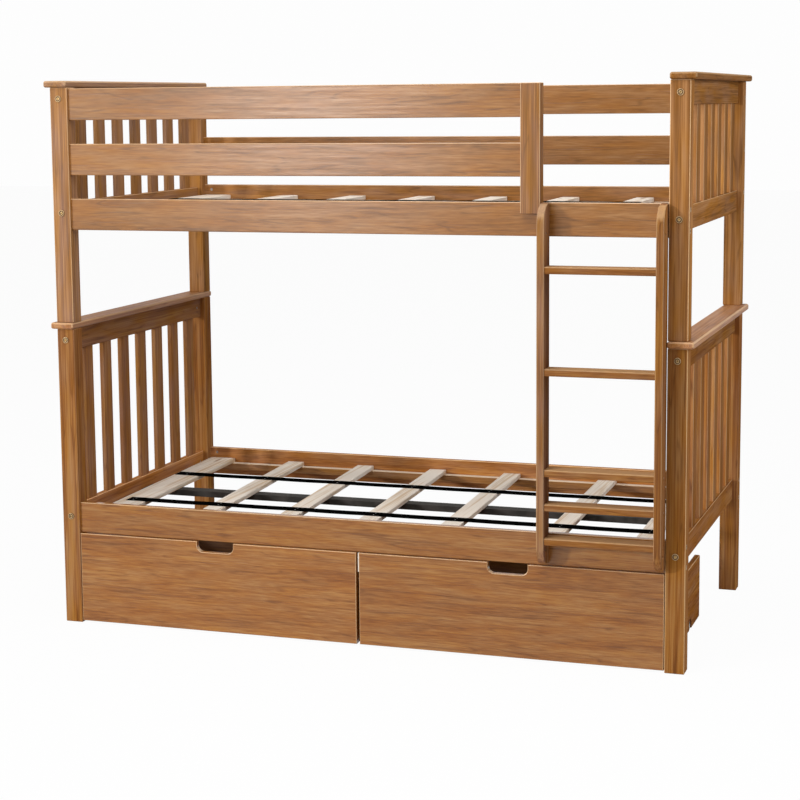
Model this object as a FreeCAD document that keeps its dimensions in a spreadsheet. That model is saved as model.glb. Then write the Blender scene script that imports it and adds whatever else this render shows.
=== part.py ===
import FreeCAD, Part
import os
import re

# Bunk bed: two stacked twin bunks of stained wood, a bolted ladder and two drawers that roll out
# on the floor. Millimetres, +Z up, front towards -Y, origin on the floor at the middle of the box.

# Driving dimensions. Each is set by itself and is written once, here.
SIZES = {
    # Frame and posts
    "clear_length": 1930,          # between the head and foot posts, for a twin mattress
    "frame_depth": 1090,           # over the front and back posts
    "post_width": 60,              # along the bed
    "post_depth": 56,              # across the bed
    "lower_post_height": 974,
    "upper_post_height": 754,
    "post_ease": 3,                # rounding of the post edges
    # Caps on the end panels
    "cap_thickness": 21,
    "cap_overhang": 19,            # past the outer face of the posts
    "cap_inner_lip": 1,            # past the inner face of the posts
    "cap_lip": 9.5,                # past the front and back faces of the posts
    "cap_ease": 7,
    # End panels
    "panel_rail_height": 72,
    "panel_thickness": 24,
    "panel_rail_rise": 18,         # bottom panel rail above the bottom of the side rail
    "panel_slat_count": 7,
    "panel_slat_width": 60,
    "panel_slat_thickness": 15,
    "panel_slat_margin": 57,       # from a post to the first upright slat
    "panel_tongue": 10,            # slat end let into a panel rail
    "tongue_play": 0.2,
    # Side rails and guard rails
    "rail_height": 100,
    "rail_thickness": 20,
    "rail_recess": 9,              # rail face behind the post face
    "rail_ease": 2.5,
    "rail_lift": 302,              # lower rail above the floor
    "upper_rail_lift": 300,        # upper rail above the foot of the upper posts
    "guard_drop": 4,               # top guard rail below the top of the post
    "guard_post_width": 60,
    "guard_lap": 24,               # guard post ahead of the rail face
    "guard_lap_length": 33,        # guard post down over the face of the upper rail
    # Bed base
    "seat_rise": 48,               # slat seat above the bottom of the rail
    "cleat_height": 25,
    "cleat_depth": 25,
    "cleat_end_gap": 45,
    "slat_count": 7,
    "slat_thickness": 15,
    "slat_width": 62,
    "first_slat_width": 97,
    "slat_end_play": 3,
    "slat_inset": 65,              # head posts to the middle of the first slat
    "slat_tail": 101,              # middle of the last slat's even place to the foot posts
    "beam_width": 50,
    "beam_height": 20,
    "beam_wall": 2,
    "hanger_plate": 3,
    "hanger_width": 90,
    "hanger_shelf": 40,
    "strap_width": 50,
    "strap_thickness": 2,
    "front_strap_place": 266,      # middle of the front strap behind the post fronts
    "back_strap_place": 725,
    "front_strap_lead": 15,        # strap end before the middle of the first slat
    "back_strap_lead": 46,
    "strap_trail": 30,             # strap end past the middle of the last slat
    # Ladder
    "stile_thickness": 23,
    "stile_depth": 70,
    "stile_foot_gap": 8,           # stile foot above the bottom of the lower rail
    "stile_head_radius": 60,
    "stile_foot_radius": 60,
    "stile_ease": 3,
    "ladder_width": 375,
    "ladder_side_gap": 2,          # ladder to the foot post
    "ladder_post_gap": 1,          # ladder to the guard post
    "rung_thickness": 21,
    "rung_depth": 64,
    "rung_setback": 4,
    "rung_ease": 4,
    "rung_housing": 6,             # rung end let into a stile
    "rung_play": 0.2,
    "rung_foot": 88,               # top of the lowest rung above the stile foot
    "rung_close_step": 104,        # between the three lowest rungs
    "rung_head": 185,              # top of the highest rung below the stile head
    # Drawers
    "drawer_gap": 10,              # between the two drawers
    "drawer_side_gap": 2,          # drawer to post
    "drawer_top_gap": 1.5,         # drawer front to the rail above
    "drawer_floor_gap": 7,
    "drawer_depth": 639,
    "drawer_front_thickness": 18,
    "drawer_side_thickness": 18,
    "drawer_side_height": 206,
    "drawer_back_height": 165,
    "drawer_base_thickness": 8,
    "drawer_base_rise": 52,        # underside of the drawer base above the floor
    "drawer_groove": 7,
    "groove_play": 0.3,
    "drawer_ease": 2.5,
    "pull_width": 126,
    "pull_drop": 34,
    "pull_radius": 20,
    # Casters let into the lower edges of the drawer sides
    "wheel_diameter": 40,
    "wheel_width": 13,
    "wheel_ease": 3,
    "wheel_side_play": 1,          # wheel to the bracket
    "wheel_front_inset": 110,      # front axle behind the drawer front's face
    "wheel_back_inset": 170,       # back axle ahead of the drawer's back
    "wheel_slot_play": 4,          # notch round the wheel
    "axle_diameter": 6,
    "axle_play": 0.1,
    "axle_head_diameter": 12,
    "axle_head_thickness": 1.5,
    "caster_plate_width": 76,
    "caster_plate_thickness": 3,
    "caster_plate_drop": 4,        # top of the caster plate below the drawer base
    # Bolts, barrel nuts, rung screws, stacking pins and dowels
    "bolt_diameter": 6,
    "bolt_play": 0.4,
    "bolt_head_diameter": 16,
    "panel_head_diameter": 20,     # wider heads on the front and back of the posts
    "bolt_head_thickness": 2.5,
    "bolt_socket": 5,              # across the flats of the hexagon socket
    "bolt_socket_depth": 1.8,
    "bolt_tail": 8,                # bolt past the middle of its nut
    "nut_diameter": 10,
    "nut_setback": 27,             # middle of a barrel nut from the end of its rail
    "nut_inset": 1.5,              # nut below the face of its rail
    "nut_play": 0.3,
    "thread_play": 0.2,
    "rail_bolt_low": 20,           # bolt above the bottom of a bed rail
    "rail_bolt_high": 82,
    "stile_bolt_upper": 12,        # ladder bolt above the bottom of the upper rail
    "stile_bolt_lower": 58,
    "head_sink": 3,                # seat of a sunk head below the face of its board
    "head_play": 1,
    "stile_nut_setback": 41,
    "screw_diameter": 4,
    "screw_length": 40,            # rung screw from the stile's outer face
    "screw_head_diameter": 8,
    "screw_head_thickness": 2.5,
    "screw_socket": 2.5,
    "screw_socket_depth": 1.5,
    "screw_play": 0.2,
    "pin_diameter": 10,
    "pin_depth": 22,               # stacking pin into each post
    "pin_play": 0.4,
    "dowel_diameter": 8,
    "dowel_depth": 25,             # dowel into a guard rail and into the guard post
    "dowel_spread": 26,            # dowels above and below the middle of a guard rail
    "lap_dowel_depth": 14,         # dowel into the guard post's lap and into the upper rail
    # How far a cutting shape runs past the face that it opens
    "overrun": 1,
}

# Sizes and places that follow from the driving dimensions.
FORMULAS = {
    "frame_length": "clear_length + 2 * post_width",
    "left": "-frame_length / 2",
    "left_in": "left + post_width",
    "right": "frame_length / 2",
    "right_in": "right - post_width",
    "ladder_reach": "stile_depth - rail_recess",
    "front": "(ladder_reach - frame_depth - cap_lip) / 2",
    "back": "front + frame_depth",
    "middle": "front + frame_depth / 2",
    "rail_front": "front + rail_recess",
    "rail_front_in": "rail_front + rail_thickness",
    "rail_back_in": "back - rail_recess - rail_thickness",
    "upper_foot": "lower_post_height + cap_thickness",
    "upper_top": "upper_foot + upper_post_height",
    "upper_rail_lift_total": "upper_foot + upper_rail_lift",
    "upper_rail_top": "upper_rail_lift_total + rail_height",
    "top_guard": "upper_top - guard_drop - rail_height",
    "mid_guard": "(upper_rail_lift_total + top_guard) / 2",
    "panel_opening": "frame_depth - 2 * post_depth",
    "panel_slat_pitch":
        "(panel_opening - 2 * panel_slat_margin - panel_slat_width) / (panel_slat_count - 1)",
    "panel_rail_inset": "(post_width - panel_thickness) / 2",
    "panel_face": "left + panel_rail_inset + panel_thickness",
    "panel_slat_inset": "(post_width - panel_slat_thickness) / 2",
    "slat_pitch": "(clear_length - slat_inset - slat_tail) / (slat_count - 1)",
    "slat_length": "rail_back_in - rail_front_in - 2 * slat_end_play",
    "ladder_right": "right_in - ladder_side_gap",
    "ladder_left": "ladder_right - ladder_width",
    "guard_post_right": "ladder_left - ladder_post_gap",
    "guard_post_left": "guard_post_right - guard_post_width",
    "guard_post_foot": "upper_rail_top - guard_lap_length",
    "stile_foot": "rail_lift + stile_foot_gap",
    "stile_front": "rail_front - stile_depth",
    "third_rung": "stile_foot + rung_foot + 2 * rung_close_step",
    "rung_step": "(upper_rail_top - rung_head - third_rung) / 2",
    "stile_length": "upper_rail_top - stile_foot",
    "drawer_width": "(clear_length - drawer_gap - 2 * drawer_side_gap) / 2",
    "drawer_front_height": "rail_lift - drawer_top_gap - drawer_floor_gap",
    "drawer_back": "front + drawer_depth",
    "drawer_inner_width": "drawer_width - 2 * drawer_side_thickness",
    "side_length": "drawer_depth - drawer_front_thickness",
    "wheel_radius": "wheel_diameter / 2",
    "front_axle": "front + wheel_front_inset",
    "back_axle": "drawer_back - wheel_back_inset",
    "axle_reach": "wheel_side_play + wheel_width + axle_play + axle_head_thickness",
    "slot_radius": "wheel_radius + wheel_slot_play",
    "plate_height": "drawer_base_rise - caster_plate_drop - drawer_floor_gap",
    "bolt_hole": "bolt_diameter + bolt_play",
    "head_hole": "bolt_head_diameter + head_play",
    "socket_radius": "bolt_socket / sqrt(3)",
    "screw_hole": "screw_diameter + screw_play",
    "screw_head_hole": "screw_head_diameter + screw_play",
    "screw_socket_radius": "screw_socket / sqrt(3)",
    "screw_in_rung": "screw_length - stile_thickness + rung_housing",
    "nut_hole": "nut_diameter + nut_play",
    "pin_hole": "pin_diameter + pin_play",
    "dowel_hole": "dowel_diameter + pin_play",
    "through": "2 * overrun",
}

# The slats lie loose on their cleats: how far each has slid from its even place along the bed,
# and how many degrees it has turned, with its back end towards the head of the bed.
SLAT_SHIFTS = {
    "lower": (0, 13, -6, -25, -42, 9, 0),
    "upper": (0, 0, -31, -63, -90, -124, -156),
}
SLAT_TURNS = {
    "lower": (1.3, 2.5, 2.5, 2.1, 1.9, 1.3, 1.3),
    "upper": (1, 2, 2, 2, 2, 2, 2),
}

BUNK_RAIL = {"lower": "rail_lift", "upper": "upper_rail_lift_total"}
BUNK_FOOT = {"lower": "0", "upper": "upper_foot"}
BUNK_TOP = {"lower": "lower_post_height", "upper": "upper_top"}
POST_HEIGHT = {"lower": "lower_post_height", "upper": "upper_post_height"}
POST_X = {"left": "left", "right": "right_in"}
POST_Y = {"front": "front", "back": "back - post_depth"}
RAIL_Y = {"front": "rail_front", "back": "rail_back_in"}
GUARDS = {"mid": "mid_guard", "top": "top_guard"}

AXES = {
    "x": FreeCAD.Vector(1, 0, 0),
    "y": FreeCAD.Vector(0, 1, 0),
    "z": FreeCAD.Vector(0, 0, 1),
}
UP = AXES["z"]

doc = FreeCAD.newDocument("BunkBed")
sheet = doc.addObject("Spreadsheet::Sheet", "Sizes")
cells = {alias: str(number) for alias, number in SIZES.items()}
cells.update({alias: "=" + text for alias, text in FORMULAS.items()})
for row, (alias, content) in enumerate(cells.items(), start=1):
    sheet.set(f"A{row}", alias)
    sheet.set(f"B{row}", content)
    sheet.setAlias(f"B{row}", alias)
doc.recompute()

nodes = []


def formula(text):
    """Writes a formula in the words above as an expression on the sheet's cells."""
    return re.sub(r"[a-z_]+", r"Sizes.\g<0>", str(text))


def value(alias):
    """Reads one size from the sheet."""
    return float(sheet.get(alias))


def place(item, at):
    """Ties an item's place to three formulas."""
    for axis, text in zip("xyz", at):
        item.setExpression("Placement.Base." + axis, formula(text))


def body(name, at, turn=FreeCAD.Rotation()):
    """Starts a piece of its own at a place, turned if need be."""
    piece = doc.addObject("PartDesign::Body", name)
    piece.Label = name
    piece.Placement = FreeCAD.Placement(FreeCAD.Vector(), turn)
    place(piece, at)
    return piece


def block(piece, size, at=(0, 0, 0), cut=False):
    """Adds a box to a piece, or cuts one out of it."""
    kind = "PartDesign::SubtractiveBox" if cut else "PartDesign::AdditiveBox"
    box = piece.newObject(kind, "notch" if cut else "board")
    for side, text in zip(("Length", "Width", "Height"), size):
        box.setExpression(side, formula(text))
    place(box, at)
    return box


def rod(piece, axis, diameter, length, at, cut=False):
    """Adds a round bar along an axis to a piece, or bores one out of it."""
    kind = "PartDesign::SubtractiveCylinder" if cut else "PartDesign::AdditiveCylinder"
    bar = piece.newObject(kind, "bore" if cut else "rod")
    bar.Placement = FreeCAD.Placement(FreeCAD.Vector(), FreeCAD.Rotation(UP, AXES[axis]))
    bar.setExpression("Radius", formula(f"({diameter}) / 2"))
    bar.setExpression("Height", formula(length))
    place(bar, at)
    return bar


def round_edges(piece, feature, radius, chosen):
    """Rounds the edges of a feature that a test chooses."""
    doc.recompute()
    names = [f"Edge{k}" for k, edge in enumerate(feature.Shape.Edges, start=1) if chosen(edge)]
    rounding = piece.newObject("PartDesign::Fillet", "rounding")
    rounding.Base = (feature, names)
    rounding.setExpression("Radius", formula(radius))
    return rounding


def along(axes):
    """Chooses the edges that run along any of the axes named."""
    def chosen(edge):
        return any(abs(edge.tangentAt(edge.FirstParameter).dot(AXES[axis])) > 0.999 for axis in axes)
    return chosen


def board(name, size, at, ease, eased_axes):
    """Makes a board with rounded edges along the axes named."""
    piece = body(name, at)
    blank = block(piece, size)
    round_edges(piece, blank, ease, along(eased_axes))
    return piece


def keep(item):
    """Lists a finished piece to be written."""
    nodes.append(item)
    return item


def group(name, pieces):
    """Keeps several like pieces as the separate solids of one item."""
    item = doc.addObject("Part::Compound", name)
    item.Label = name
    item.Links = pieces
    return keep(item)


def axis_line(piece, role):
    """Finds one of a piece's own axes."""
    return next(line for line in piece.Origin.OriginFeatures if line.Role == role)


# Posts

def rail_bolt_heights(bunk, side, end):
    """Gives the heights of the bolts that hold the side rails and guard rails to one post."""
    rail = BUNK_RAIL[bunk]
    heights = [f"{rail} + rail_bolt_low", f"{rail} + rail_bolt_high"]
    guards_reach = side == "back" or end == "left"
    if bunk == "upper" and guards_reach:
        heights += [f"{level} + rail_height / 2" for level in GUARDS.values()]
    return heights


def panel_rails(bunk):
    """Names the rails of a bunk's end panels with the height of each one's lower edge."""
    return {
        "top": f"{BUNK_TOP[bunk]} - panel_rail_height",
        "bottom": f"{BUNK_RAIL[bunk]} + panel_rail_rise",
    }


HEAD_X = {"left": "-overrun", "right": "post_width - head_sink"}


def make_post(bunk, side, end):
    """Makes a post with its bolt holes, sunk for the rails' bolts, and its stacking-pin hole."""
    foot = BUNK_FOOT[bunk]
    height = POST_HEIGHT[bunk]
    at = (POST_X[end], POST_Y[side], foot)
    size = ("post_width", "post_depth", height)
    piece = board(f"{bunk}_{side}_{end}_post", size, at, "post_ease", "xyz")
    for level in panel_rails(bunk).values():
        centre = f"{level} + panel_rail_height / 2 - ({foot})"
        at_hole = ("post_width / 2", "-overrun", centre)
        rod(piece, "y", "bolt_hole", "post_depth + through", at_hole, cut=True)
    rail_middle = f"{RAIL_Y[side]} + rail_thickness / 2 - ({POST_Y[side]})"
    for level in rail_bolt_heights(bunk, side, end):
        at_hole = ("-overrun", rail_middle, f"{level} - ({foot})")
        rod(piece, "x", "bolt_hole", "post_width + through", at_hole, cut=True)
        at_head = (HEAD_X[end], rail_middle, f"{level} - ({foot})")
        rod(piece, "x", "head_hole", "head_sink + overrun", at_head, cut=True)
    pin_foot = "lower_post_height - pin_depth" if bunk == "lower" else "-overrun"
    at_pin = ("post_width / 2", "post_depth / 2", pin_foot)
    rod(piece, "z", "pin_hole", "pin_depth + overrun", at_pin, cut=True)
    return keep(piece)


for bunk in BUNK_RAIL:
    for end in POST_X:
        for side in POST_Y:
            make_post(bunk, side, end)


# Caps

CAP_X = {"left": "left - cap_overhang", "right": "right_in - cap_inner_lip"}


def make_cap(bunk, end):
    """Makes the flat cap over an end panel; a lower cap has holes for the stacking pins."""
    at = (CAP_X[end], "front - cap_lip", BUNK_TOP[bunk])
    width = "cap_overhang + post_width + cap_inner_lip"
    size = (width, "frame_depth + 2 * cap_lip", "cap_thickness")
    piece = board(f"{bunk}_{end}_cap", size, at, "cap_ease", "xyz")
    if bunk == "lower":
        for post_y in POST_Y.values():
            at_pin = (
                f"{POST_X[end]} + post_width / 2 - ({at[0]})",
                f"{post_y} + post_depth / 2 - ({at[1]})",
                "-overrun",
            )
            rod(piece, "z", "pin_hole", "cap_thickness + through", at_pin, cut=True)
    return keep(piece)


for bunk in BUNK_RAIL:
    for end in CAP_X:
        make_cap(bunk, end)


# End panels

def make_panel_rail(bunk, end, name, level):
    """Makes a panel rail with its slat mortises, bolt holes and barrel-nut holes."""
    at = (f"{POST_X[end]} + panel_rail_inset", "front + post_depth", level)
    size = ("panel_thickness", "panel_opening", "panel_rail_height")
    piece = board(f"{bunk}_{end}_panel_{name}_rail", size, at, "rail_ease", "y")
    mortise_foot = "-overrun" if name == "top" else "panel_rail_height - panel_tongue"
    mortise_at = (
        "(panel_thickness - panel_slat_thickness) / 2 - tongue_play",
        "panel_slat_margin - tongue_play",
        mortise_foot,
    )
    mortise_size = (
        "panel_slat_thickness + 2 * tongue_play",
        "panel_slat_width + 2 * tongue_play",
        "panel_tongue + overrun",
    )
    mortise = block(piece, mortise_size, mortise_at, cut=True)
    mortises = piece.newObject("PartDesign::LinearPattern", "mortises")
    mortises.Originals = [mortise]
    mortises.Direction = (axis_line(piece, "Y_Axis"), [""])
    mortises.setExpression("Length", formula("panel_slat_pitch * (panel_slat_count - 1)"))
    mortises.setExpression("Occurrences", formula("panel_slat_count"))
    piece.Tip = mortises
    middle = ("panel_thickness / 2", "panel_rail_height / 2")
    reach = "nut_setback + bolt_tail + overrun"
    nut_from = "nut_inset" if end == "left" else "-overrun"
    for bolt_from, nut_at in (("-overrun", "nut_setback"),
                              ("panel_opening - nut_setback - bolt_tail", "panel_opening - nut_setback")):
        rod(piece, "y", "bolt_hole", reach, (middle[0], bolt_from, middle[1]), cut=True)
        nut_depth = "panel_thickness - nut_inset + overrun"
        rod(piece, "x", "nut_hole", nut_depth, (nut_from, nut_at, middle[1]), cut=True)
    return keep(piece)


def make_panel_slats(bunk, end):
    """Makes the upright slats of an end panel, let into the rails above and below."""
    rails = panel_rails(bunk)
    foot = f"{rails['bottom']} + panel_rail_height - panel_tongue"
    height = f"{rails['top']} + panel_tongue - tongue_play - ({foot})"
    size = ("panel_slat_thickness", "panel_slat_width", height)
    pieces = []
    for k in range(int(value("panel_slat_count"))):
        at = (
            f"{POST_X[end]} + panel_slat_inset",
            f"front + post_depth + panel_slat_margin + {k} * panel_slat_pitch",
            foot,
        )
        pieces.append(board(f"{bunk}_{end}_panel_slat", size, at, "rail_ease", "z"))
    return group(f"{bunk}_{end}_panel_slats", pieces)


for bunk in BUNK_RAIL:
    for end in POST_X:
        for name, level in panel_rails(bunk).items():
            make_panel_rail(bunk, end, name, level)
        make_panel_slats(bunk, end)


# Side rails, guard rails and guard post

def bolt_rail_end(piece, side, from_end, height):
    """Bores a bolt hole into a rail's end and a barrel-nut hole into its inner face."""
    reach = "nut_setback + bolt_tail + overrun"
    bolt_from, nut_at = from_end
    rod(piece, "x", "bolt_hole", reach, (bolt_from, "rail_thickness / 2", height), cut=True)
    nut_from = "nut_inset" if side == "front" else "-overrun"
    nut_depth = "rail_thickness - nut_inset + overrun"
    rod(piece, "y", "nut_hole", nut_depth, (nut_at, nut_from, height), cut=True)


def rail_ends(length):
    """Gives where the bolt hole starts and the nut sits at the left and right end of a rail."""
    return (
        ("-overrun", "nut_setback"),
        (f"{length} - nut_setback - bolt_tail", f"{length} - nut_setback"),
    )


def make_bed_rail(bunk, side):
    """Makes a long bed rail; the front ones also have the ladder's and guard post's holes."""
    at = ("left_in", RAIL_Y[side], BUNK_RAIL[bunk])
    size = ("clear_length", "rail_thickness", "rail_height")
    piece = board(f"{bunk}_{side}_rail", size, at, "rail_ease", "x")
    for from_end in rail_ends("clear_length"):
        for height in ("rail_bolt_low", "rail_bolt_high"):
            bolt_rail_end(piece, side, from_end, height)
    if side == "front":
        for stile_x in STILE_X.values():
            centre = f"{stile_x} + stile_thickness / 2 - left_in"
            at_hole = (centre, "-overrun", STILE_BOLTS[bunk])
            rod(piece, "y", "bolt_hole", "rail_thickness + through", at_hole, cut=True)
            at_head = (centre, "rail_thickness - head_sink", STILE_BOLTS[bunk])
            rod(piece, "y", "head_hole", "head_sink + overrun", at_head, cut=True)
    if side == "front" and bunk == "upper":
        centre = "guard_post_left + guard_post_width / 2 - left_in"
        at_dowel = (centre, "-overrun", "rail_height - guard_lap_length / 2")
        rod(piece, "y", "dowel_hole", "lap_dowel_depth + overrun", at_dowel, cut=True)
    return keep(piece)


def make_guard_rail(side, name, level):
    """Makes a guard rail: full length at the back, dowelled to the guard post at the front."""
    length = "clear_length" if side == "back" else "guard_post_left - left_in"
    at = ("left_in", RAIL_Y[side], level)
    size = (length, "rail_thickness", "rail_height")
    piece = board(f"{side}_{name}_guard_rail", size, at, "rail_ease", "x")
    left_end, right_end = rail_ends(length)
    bolt_rail_end(piece, side, left_end, "rail_height / 2")
    if side == "back":
        bolt_rail_end(piece, side, right_end, "rail_height / 2")
        return keep(piece)
    for height in DOWEL_HEIGHTS:
        at_dowel = (f"{length} - dowel_depth", "rail_thickness / 2", height)
        rod(piece, "x", "dowel_hole", "dowel_depth + overrun", at_dowel, cut=True)
    return keep(piece)


def make_guard_post():
    """Makes the short post that ends the front guard rails, lapped over the upper rail."""
    at = ("guard_post_left", "rail_front - guard_lap", "guard_post_foot")
    height = "upper_top - guard_drop - guard_post_foot"
    size = ("guard_post_width", "guard_lap + rail_thickness", height)
    piece = board("guard_post", size, at, "rail_ease", "xyz")
    notch_size = ("guard_post_width + through", "rail_thickness + overrun", "guard_lap_length + overrun")
    block(piece, notch_size, ("-overrun", "guard_lap", "-overrun"), cut=True)
    for level in GUARDS.values():
        for height in DOWEL_HEIGHTS:
            at_dowel = ("-overrun", "guard_lap + rail_thickness / 2", f"{level} + {height} - guard_post_foot")
            rod(piece, "x", "dowel_hole", "dowel_depth + overrun", at_dowel, cut=True)
    at_lap = ("guard_post_width / 2", "guard_lap - lap_dowel_depth", "guard_lap_length / 2")
    rod(piece, "y", "dowel_hole", "lap_dowel_depth + overrun", at_lap, cut=True)
    return keep(piece)


DOWEL_HEIGHTS = ("rail_height / 2 - dowel_spread", "rail_height / 2 + dowel_spread")
STILE_X = {"left": "ladder_left", "right": "ladder_right - stile_thickness"}
STILE_BOLTS = {"lower": "stile_bolt_lower", "upper": "stile_bolt_upper"}

for bunk in BUNK_RAIL:
    for side in RAIL_Y:
        make_bed_rail(bunk, side)
for side in RAIL_Y:
    for name, level in GUARDS.items():
        make_guard_rail(side, name, level)
make_guard_post()


# Bed base: cleats, slats, centre beams with hangers, webbing straps

def make_cleats():
    """Makes the ledges along the inner faces of the bed rails that carry the slats."""
    pieces = []
    size = ("clear_length - 2 * cleat_end_gap", "cleat_depth", "cleat_height")
    for bunk, rail in BUNK_RAIL.items():
        for cleat_y in ("rail_front_in", "rail_back_in - cleat_depth"):
            at = ("left_in + cleat_end_gap", cleat_y, f"{rail} + seat_rise - cleat_height")
            pieces.append(board(f"{bunk}_cleat", size, at, "rail_ease", "x"))
    return group("slat_cleats", pieces)


def slat_middle(bunk, k):
    """Gives where the middle of a bunk's slat lies along the bed."""
    return f"left_in + slat_inset + {k} * slat_pitch + ({SLAT_SHIFTS[bunk][k]})"


def make_slats(bunk):
    """Makes a bunk's loose slats, which lie a little askew across the cleats."""
    pieces = []
    for k, degrees in enumerate(SLAT_TURNS[bunk]):
        width = "first_slat_width" if k == 0 else "slat_width"
        at = (slat_middle(bunk, k), "middle", f"{BUNK_RAIL[bunk]} + seat_rise")
        piece = body(f"{bunk}_slat", at, FreeCAD.Rotation(UP, degrees))
        size = (width, "slat_length", "slat_thickness")
        blank = block(piece, size, (f"-{width} / 2", "-slat_length / 2", 0))
        round_edges(piece, blank, "rail_ease", along("y"))
        pieces.append(piece)
    return group(f"{bunk}_slats", pieces)


def make_beam(bunk):
    """Makes the steel tube under the middle of a bunk's slats."""
    seat = f"{BUNK_RAIL[bunk]} + seat_rise"
    start = "panel_face + hanger_plate"
    at = (start, "middle - beam_width / 2", f"{seat} - beam_height")
    length = f"-2 * ({start})"
    piece = body(f"{bunk}_beam", at)
    block(piece, (length, "beam_width", "beam_height"))
    bore_size = (f"{length} + through", "beam_width - 2 * beam_wall", "beam_height - 2 * beam_wall")
    block(piece, bore_size, ("-overrun", "beam_wall", "beam_wall"), cut=True)
    return piece


def make_hanger(bunk, end):
    """Makes the steel angle on a bottom panel rail that carries one end of a beam."""
    foot = f"{BUNK_RAIL[bunk]} + seat_rise - beam_height - hanger_plate"
    start = {"left": "panel_face", "right": "-panel_face - hanger_plate - hanger_shelf"}[end]
    plate_x = {"left": "0", "right": "hanger_shelf"}[end]
    piece = body(f"{bunk}_{end}_hanger", (start, "middle - hanger_width / 2", foot))
    block(piece, ("hanger_plate", "hanger_width", "beam_height + hanger_plate"), (plate_x, 0, 0))
    block(piece, ("hanger_plate + hanger_shelf", "hanger_width", "hanger_plate"))
    return piece


def make_beams():
    """Makes both centre beams with the angles at their ends."""
    pieces = []
    for bunk in BUNK_RAIL:
        pieces.append(make_beam(bunk))
        pieces += [make_hanger(bunk, end) for end in POST_X]
    return group("centre_beams", pieces)


def make_straps():
    """Makes the webbing straps that lie on the slats and keep them apart."""
    pieces = []
    straps = (("front_strap_place", "front_strap_lead"), ("back_strap_place", "back_strap_lead"))
    for bunk, rail in BUNK_RAIL.items():
        last = len(SLAT_SHIFTS[bunk]) - 1
        for strap_place, lead in straps:
            start = f"{slat_middle(bunk, 0)} - {lead}"
            length = f"{slat_middle(bunk, last)} + strap_trail - ({start})"
            at = (start, f"front + {strap_place} - strap_width / 2", f"{rail} + seat_rise + slat_thickness")
            piece = body(f"{bunk}_strap", at)
            block(piece, (length, "strap_width", "strap_thickness"))
            pieces.append(piece)
    return group("slat_straps", pieces)


make_cleats()
for bunk in BUNK_RAIL:
    make_slats(bunk)
make_beams()
make_straps()


# Ladder

def rung_tops():
    """Gives the height of the top of each rung, the lowest first."""
    close = [f"stile_foot + rung_foot + {k} * rung_close_step" for k in range(3)]
    wide = [f"third_rung + {k} * rung_step" for k in (1, 2)]
    return close + wide


def in_side_face(edge):
    """Chooses the edges that outline a stile's two side faces."""
    return edge.BoundBox.XLength < 0.001


def make_stile(end):
    """Makes a ladder stile with rounded front corners, rung housings and nut holes."""
    at = (STILE_X[end], "stile_front", "stile_foot")
    piece = body(f"ladder_{end}_stile", at)
    blank = block(piece, ("stile_thickness", "stile_depth", "stile_length"))

    def at_front(level):
        return lambda edge: along("x")(edge) and edge.CenterOfMass.distanceToPoint(
            FreeCAD.Vector(edge.CenterOfMass.x, 0, level)) < 0.001

    head = round_edges(piece, blank, "stile_head_radius", at_front(value("stile_length")))
    foot = round_edges(piece, head, "stile_foot_radius", at_front(0))
    round_edges(piece, foot, "stile_ease", in_side_face)
    housing_x = "stile_thickness - rung_housing" if end == "left" else "-overrun"
    housing_size = (
        "rung_housing + overrun",
        "rung_depth + 2 * rung_play",
        "rung_thickness + 2 * rung_play",
    )
    head_x = {"left": "-overrun", "right": "stile_thickness - screw_head_thickness"}[end]
    for level in rung_tops():
        housing_foot = f"{level} - rung_thickness - rung_play - stile_foot"
        block(piece, housing_size, (housing_x, "rung_setback - rung_play", housing_foot), cut=True)
        middle = ("rung_setback + rung_depth / 2", f"{level} - rung_thickness / 2 - stile_foot")
        rod(piece, "x", "screw_hole", "stile_thickness + through", ("-overrun", *middle), cut=True)
        rod(piece, "x", "screw_head_hole", "screw_head_thickness + overrun", (head_x, *middle), cut=True)
    nut_depth = "stile_thickness - nut_inset + overrun"
    reach = "stile_nut_setback + bolt_tail"
    for bunk, rail in BUNK_RAIL.items():
        level = f"{rail} + {STILE_BOLTS[bunk]} - stile_foot"
        at_bolt = ("stile_thickness / 2", f"stile_depth - ({reach})", level)
        rod(piece, "y", "bolt_hole", f"{reach} + overrun", at_bolt, cut=True)
        at_nut = ("nut_inset", "stile_depth - stile_nut_setback", level)
        rod(piece, "x", "nut_hole", nut_depth, at_nut, cut=True)
    return keep(piece)


def make_rungs():
    """Makes the flat rungs between the stiles."""
    pieces = []
    length = "ladder_width - 2 * stile_thickness + 2 * rung_housing"
    start = "ladder_left + stile_thickness - rung_housing"
    for level in rung_tops():
        at = (start, "stile_front + rung_setback", f"{level} - rung_thickness")
        piece = board("rung", (length, "rung_depth", "rung_thickness"), at, "rung_ease", "x")
        for hole_x in ("-overrun", f"{length} - screw_in_rung"):
            at_hole = (hole_x, "rung_depth / 2", "rung_thickness / 2")
            rod(piece, "x", "screw_hole", "screw_in_rung + overrun", at_hole, cut=True)
        pieces.append(piece)
    return group("ladder_rungs", pieces)


for end in STILE_X:
    make_stile(end)
make_rungs()


# Drawers

DRAWER_X = {
    "left": "left_in + drawer_side_gap",
    "right": "right_in - drawer_side_gap - drawer_width",
}
SIDE_X = {"left": "0", "right": "drawer_width - drawer_side_thickness"}
AXLES = {"front": "front_axle", "back": "back_axle"}
BASE_IN_SIDE = "drawer_base_rise - drawer_floor_gap"


def in_front_face(edge):
    """Chooses the edges that outline a drawer's front face."""
    return edge.BoundBox.YMax < 0.001


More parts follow.
